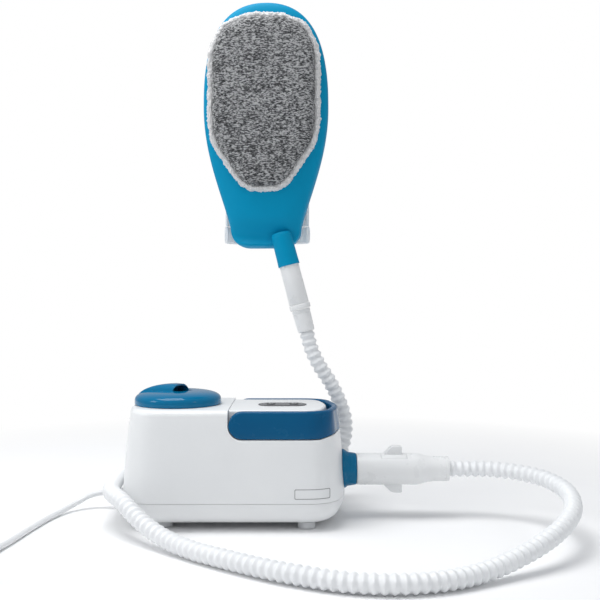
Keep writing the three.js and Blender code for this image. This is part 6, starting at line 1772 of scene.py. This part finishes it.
@dataclass
class SteamGlove:
    """The glove: its shell, plate, pad with bound edge, back plate, hand pocket and wrist cuff."""

    form: GloveForm
    tube: SwivelTube
    wall: float = 2.6
    plate_half_width: float = 42.0
    plate_half_height: float = 78.0
    plate_middle: float = 170.0
    oval_roundness: float = 2.7
    pad_half_width: float = 60.2
    pad_half_height: float = 98.6
    pad_front: float = 35.5
    pad_edge: float = 28.0
    binding_radius: float = 4.0
    binding_place: float = 21.5
    hand_half_width: float = 51.0
    hand_depth: float = 28.0
    hand_start: float = 28.0
    hand_end: float = 205.0

    def build(self, fitter: "Fitter") -> None:
        """Models every piece of the glove."""
        finishes = fitter.finishes
        shell, plate = self._shell()
        fitter.fit(shell, ["glove_shell"], finishes.glove, Slot.GLOVE, 40)
        fitter.fit(plate, ["steam_plate"], finishes.steel, Slot.STEEL, 40)
        fitter.fit(self._back_plate(), ["glove_back_plate"], finishes.glove, Slot.GLOVE, 40)
        pad = fitter.fit(self._pad(), ["steam_pad"], finishes.pile, Slot.PAD, 180)
        fitter.fit(self._binding(), ["pad_binding"], finishes.fleece, Slot.FLEECE, 180)
        pocket = fitter.fit(self._pocket(), ["hand_pocket"], finishes.pocket, Slot.PAD, 60)
        cuff = fitter.fit(self._cuff(), ["wrist_cuff"], finishes.knit, Slot.FLEECE, 60)
        self._tubes(fitter)

    def _shell(self) -> tuple[bpy.types.Object, bpy.types.Object]:
        """The blue shell with its stub and window, and the plate that fills the window."""
        shell = self.form.solid("glove_body", 0.0, self.form.back)
        axis = self.tube.axis()
        stub = [(0, 0), (12.3, 0), (12.75, 0.5), (12.7, -3), (12.55, -6), (12.1, -34), (11.8, -36.5), (10.8, -38.6),
                (9.2, -39.7), (7, -40), (0, -40)]
        Bench.carve(shell, Bench.turned("glove_stub", stub, axis, 64), how="UNION")
        Bench.carve(shell, self.form.solid("glove_room", self.wall, self.form.back + 5))
        plate = Bench.twin(shell, "perforated_plate")
        socket = [(0, 2), (11.8, 2), (11.8, -14), (5, -14), (5, -26), (0, -26)]
        Bench.carve(shell, Bench.turned("stub_socket", socket, axis, 64))
        Bench.carve(shell, self._oval_block("plate_window", 0.0))
        Bench.carve(plate, self._oval_block("plate_outline", -GAP), how="INTERSECT")
        for row in range(-2, 3):
            for x in ((-16, 16) if row % 2 == 0 else (0,)):
                hole = Axis(glove_spot(x, 0, self.plate_middle + row * 22), Vector((0, -1, 0)), Vector((1, 0, 0)))
                Bench.carve(plate, Bench.rod("steam_hole", 2.2, 0, 40, hole, 24))
        return shell, plate

    def _oval_block(self, name: str, grow: float) -> bpy.types.Object:
        """The plate's oval carried through the front wall."""
        points = oval(self.plate_half_width, self.plate_half_height, self.oval_roundness, grow, 96)
        places = [glove_spot(x, -40, self.plate_middle + z) for x, z in points]
        return Bench.prism(name, places, glove_spot(0, 0, 0) - glove_spot(0, -40, 0))

    def _back_plate(self) -> bpy.types.Object:
        """The flat plate that closes the shell's back."""
        near, far = self.form.back - 3.3, self.form.back - GAP
        places = [glove_spot(x, near, z) for x, z in self.form.outline(self.wall + GAP)]
        plate = Bench.prism("glove_back", places, glove_spot(0, far, 0) - glove_spot(0, near, 0))
        return Bench.soften(plate, 0.4, 2, 60)

    def _pad(self) -> bpy.types.Object:
        """The loop-pile pad: crowned in front, following the shell behind, with lumpy loops all over."""
        edge = cut_oval(self.pad_half_width, self.pad_half_height, 0.0, 400)
        count, rows = 82, []
        for k in range(count):
            share = math.sin(k / (count - 1) * math.pi / 2)
            inward = (1 - share) * self.pad_half_width
            y = -self.pad_edge - (self.pad_front - self.pad_edge) * (1 - math.exp(-inward / 3.3))
            rows.append([(x * share, y, z * share) for x, z in edge])
        back = [self.form.depth(x, self.plate_middle + z) + 0.6 for x, z in edge]
        for step in range(1, 9):
            rows.append([(x, lerp(-self.pad_edge, -y, step / 8), z) for (x, z), y in zip(edge, back)])
        for step in range(1, 11):
            share = 1 - step / 10
            rows.append([(x * share, -self.form.depth(x * share, self.plate_middle + z * share) - 0.6, z * share)
                         for x, z in edge])
        places = [[glove_spot(x, y, self.plate_middle + z) for x, y, z in (*row, row[0])] for row in rows]
        pad = Bench.sheet("loop_pad", places, merge=2e-6)
        return self._tufted(pad, 0.5, 300.0, -self.pad_edge + 8)

    @staticmethod
    def _tufted(piece: bpy.types.Object, height: float, scale: float, keep: float) -> bpy.types.Object:
        """Raises small lumps on the parts of a piece that lie before a depth, given in millimetres."""
        limit = glove_spot(0, keep, 0).y

        def lump(vert: bmesh.types.BMVert) -> float:
            """The lump at a vertex in millimetres."""
            if vert.co.y >= limit:
                return 0.0
            return (noise.noise(vert.co * scale) * 0.6 + noise.noise(vert.co * scale * 2.1) * 0.4) * height

        return Bench.swell(piece, lump)

    def _binding(self) -> bpy.types.Object:
        """The fuzzy white roll bound round the pad's edge."""
        count, sides = 640, 20
        middle = cut_oval(self.pad_half_width, self.pad_half_height, 2.4, count)
        outer = cut_oval(self.pad_half_width, self.pad_half_height, 3.4, count)
        rows = []
        for i in range(sides + 1):
            angle = i / sides * math.tau
            row = []
            for (x, z), (ox, oz) in zip(middle, outer):
                out = math.cos(angle) * self.binding_radius
                y = -self.binding_place + math.sin(angle) * self.binding_radius
                row.append(glove_spot(x + (ox - x) * out, y, self.plate_middle + z + (oz - z) * out))
            rows.append([*row, row[0]])
        roll = Bench.sheet("bound_edge", rows, merge=2e-6)
        return self._tufted(self._tufted(roll, 2.2, 150.0, 60), 1.7, 430.0, 60)

    def _arch(self, z: float, half: float, depth: float, count: int = 60) -> list[Vector]:
        """A level arch on the back plate."""
        row, start = [], self.form.back + GAP
        for k in range(count + 1):
            angle = k / count * math.pi
            up = max(math.sin(angle), 0.0)
            row.append(glove_spot(half * signed(math.cos(angle), 0.75), start + depth * up ** 0.75, z))
        return row

    def _pocket(self) -> bpy.types.Object:
        """The fabric hand pocket, closed at the top and open below."""
        outer, inner = [], []
        for k in range(49):
            share = k / 48
            z = lerp(self.hand_start, self.hand_end - 0.5, share)
            close = clamp((z - 110) / (self.hand_end - 110))
            half = self.hand_half_width * math.sqrt(1 - (close * 0.9) ** 3)
            depth = self.hand_depth * math.cos(close * math.pi * 0.42)
            fall = math.sqrt(1 - clamp((share - 0.93) / 0.07) ** 2)
            outer.append(self._arch(z, half, depth * fall))
            inner.append(self._arch(min(z, self.hand_end - 3), half - 2.5, max(depth * fall - 2.5, 0.4)))
        rim = [[a.lerp(b, 0.5) + Vector((0, 0, -0.0006)) for a, b in zip(outer[0], inner[0])]]
        pocket = Bench.sheet("pocket_cloth", [*reversed(inner), *rim, *outer], merge=1e-6, fill=True)
        return self._creased(pocket, 0.7, 26.0)

    def _cuff(self) -> bpy.types.Object:
        """The padded white cuff round the wrist's way in."""
        half, depth, low, high = self.hand_half_width + 1.2, self.hand_depth + 1.2, 6.4, self.hand_start - 0.7
        section = []
        for k in range(25):
            angle = k / 24 * math.tau
            section.append((2.0 + 2.0 * signed(math.cos(angle), 0.8),
                            (low + high) / 2 + (high - low) / 2 * signed(math.sin(angle), 0.6)))
        rows = [self._arch(z, half - inward, depth - inward, 84) for inward, z in section]
        cuff = Bench.sheet("wrist_pad", rows, merge=1e-6, fill=True)
        return self._creased(cuff, 0.5, 60.0)

    @staticmethod
    def _creased(piece: bpy.types.Object, height: float, scale: float) -> bpy.types.Object:
        """Soft unevenness as cloth has it, drawn inwards only."""
        return Bench.swell(piece, lambda vert: -(0.5 + 0.5 * noise.noise(vert.co * scale)) * height * 0.6)

    def _tubes(self, fitter: "Fitter") -> None:
        """The handset tube, the swivel ring and the hose cuff."""
        tube, axis = self.tube, self.tube.axis()
        stem = [(6, -13.7), (11, -13.7), (11.5, -12), (11.5, 12), (11.85, tube.tube_length - 0.6),
                (11.4, tube.tube_length), (6, tube.tube_length)]
        low, high = tube.ring_start, tube.ring_start + tube.ring_length
        ring = [(6, low), (11.6, low), (12.15, low + 0.25), (12.4, low + 0.8), (12.4, high - 0.8),
                (12.15, high - 0.25), (11.6, high), (6, high)]
        start, end = tube.cuff_start, tube.cuff_end
        cuff = [(6, start), (10.2, start), (10.7, start + 0.5), (10.7, start + 4), (10.3, start + 4.4),
                (10.3, start + 5.2), (10.6, start + 5.6), (10.05, end - 2), (9.9, end - 0.9), (9.3, end - 0.2),
                (8.6, end), (6, end)]
        for name, node, profile in (("handset_stem", "handset_tube", stem), ("swivel_collar", "swivel_ring", ring),
                                    ("cuff_sleeve", "hose_cuff", cuff)):
            fitter.fit(Bench.turned(name, profile, axis, 72), [node], fitter.finishes.fitting, Slot.WHITE)


def dress_inside(fitter: Fitter) -> None:
    """Gives the pieces that stay as they are their own finishes."""
    finishes = fitter.finishes
    fitter.dress(finishes.clear, "water_tank")
    fitter.dress(finishes.rubber, "cap_gasket", "connector_seal", "pump_inlet_tube", "pump_outlet_tube")
    fitter.dress(finishes.dark, "water_pump")
    fitter.dress(finishes.cast, "boiler_body", "steam_chamber")
    fitter.dress(finishes.steel, "heating_element", "boiler_bracket", "tray_screw_1", "tray_screw_2",
                 "tray_screw_3", "tray_screw_4", "handle_pivot_front", "handle_pivot_rear", "glove_steam_pipe",
                 "steam_outlet_pipe", "thermal_fuse")
    fitter.dress(finishes.brass, "outlet_socket", "connector_nozzle")
    fitter.dress(finishes.dark, "thermostat")
    fitter.dress(finishes.board, "control_board")


def main() -> None:
    """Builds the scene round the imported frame."""
    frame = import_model()
    studio = Studio()
    studio.camera()
    finishes = Finishes()
    fitter = Fitter(frame, finishes)
    tube = SwivelTube()
    hose = SteamHose().build(tube)
    fitter.fit(hose, ["steam_hose"], finishes.hose, Slot.WHITE, 60)
    lead = MainsLead()
    cord = lead.build()
    fitter.fit(cord, ["mains_cord", "cord_coil", "cord_tail"], finishes.lead, Slot.WHITE)
    plug, pins = lead.plug()
    fitter.fit(plug, ["mains_plug"], finishes.lead, Slot.WHITE)
    fitter.fit(pins, ["mains_plug"], finishes.steel, Slot.STEEL)
    tie = fitter.fit(lead.tie(), ["cord_tie"], finishes.strap, Slot.TIE)
    fitter.fit(lead.relief(), ["cord_strain_relief"], finishes.lead, Slot.WHITE)
    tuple(lead.exit)
    form = BodyForm()
    SteamBase(form, CarryHandle(form), TankCap(), Outlet()).build(fitter)
    SteamGlove(GloveForm(), tube).build(fitter)
    dress_inside(fitter)
    studio.floor()
    studio.light()


if __name__ == "__main__":
    logging.basicConfig(level=logging.INFO, format="%(name)s: %(message)s")
    main()
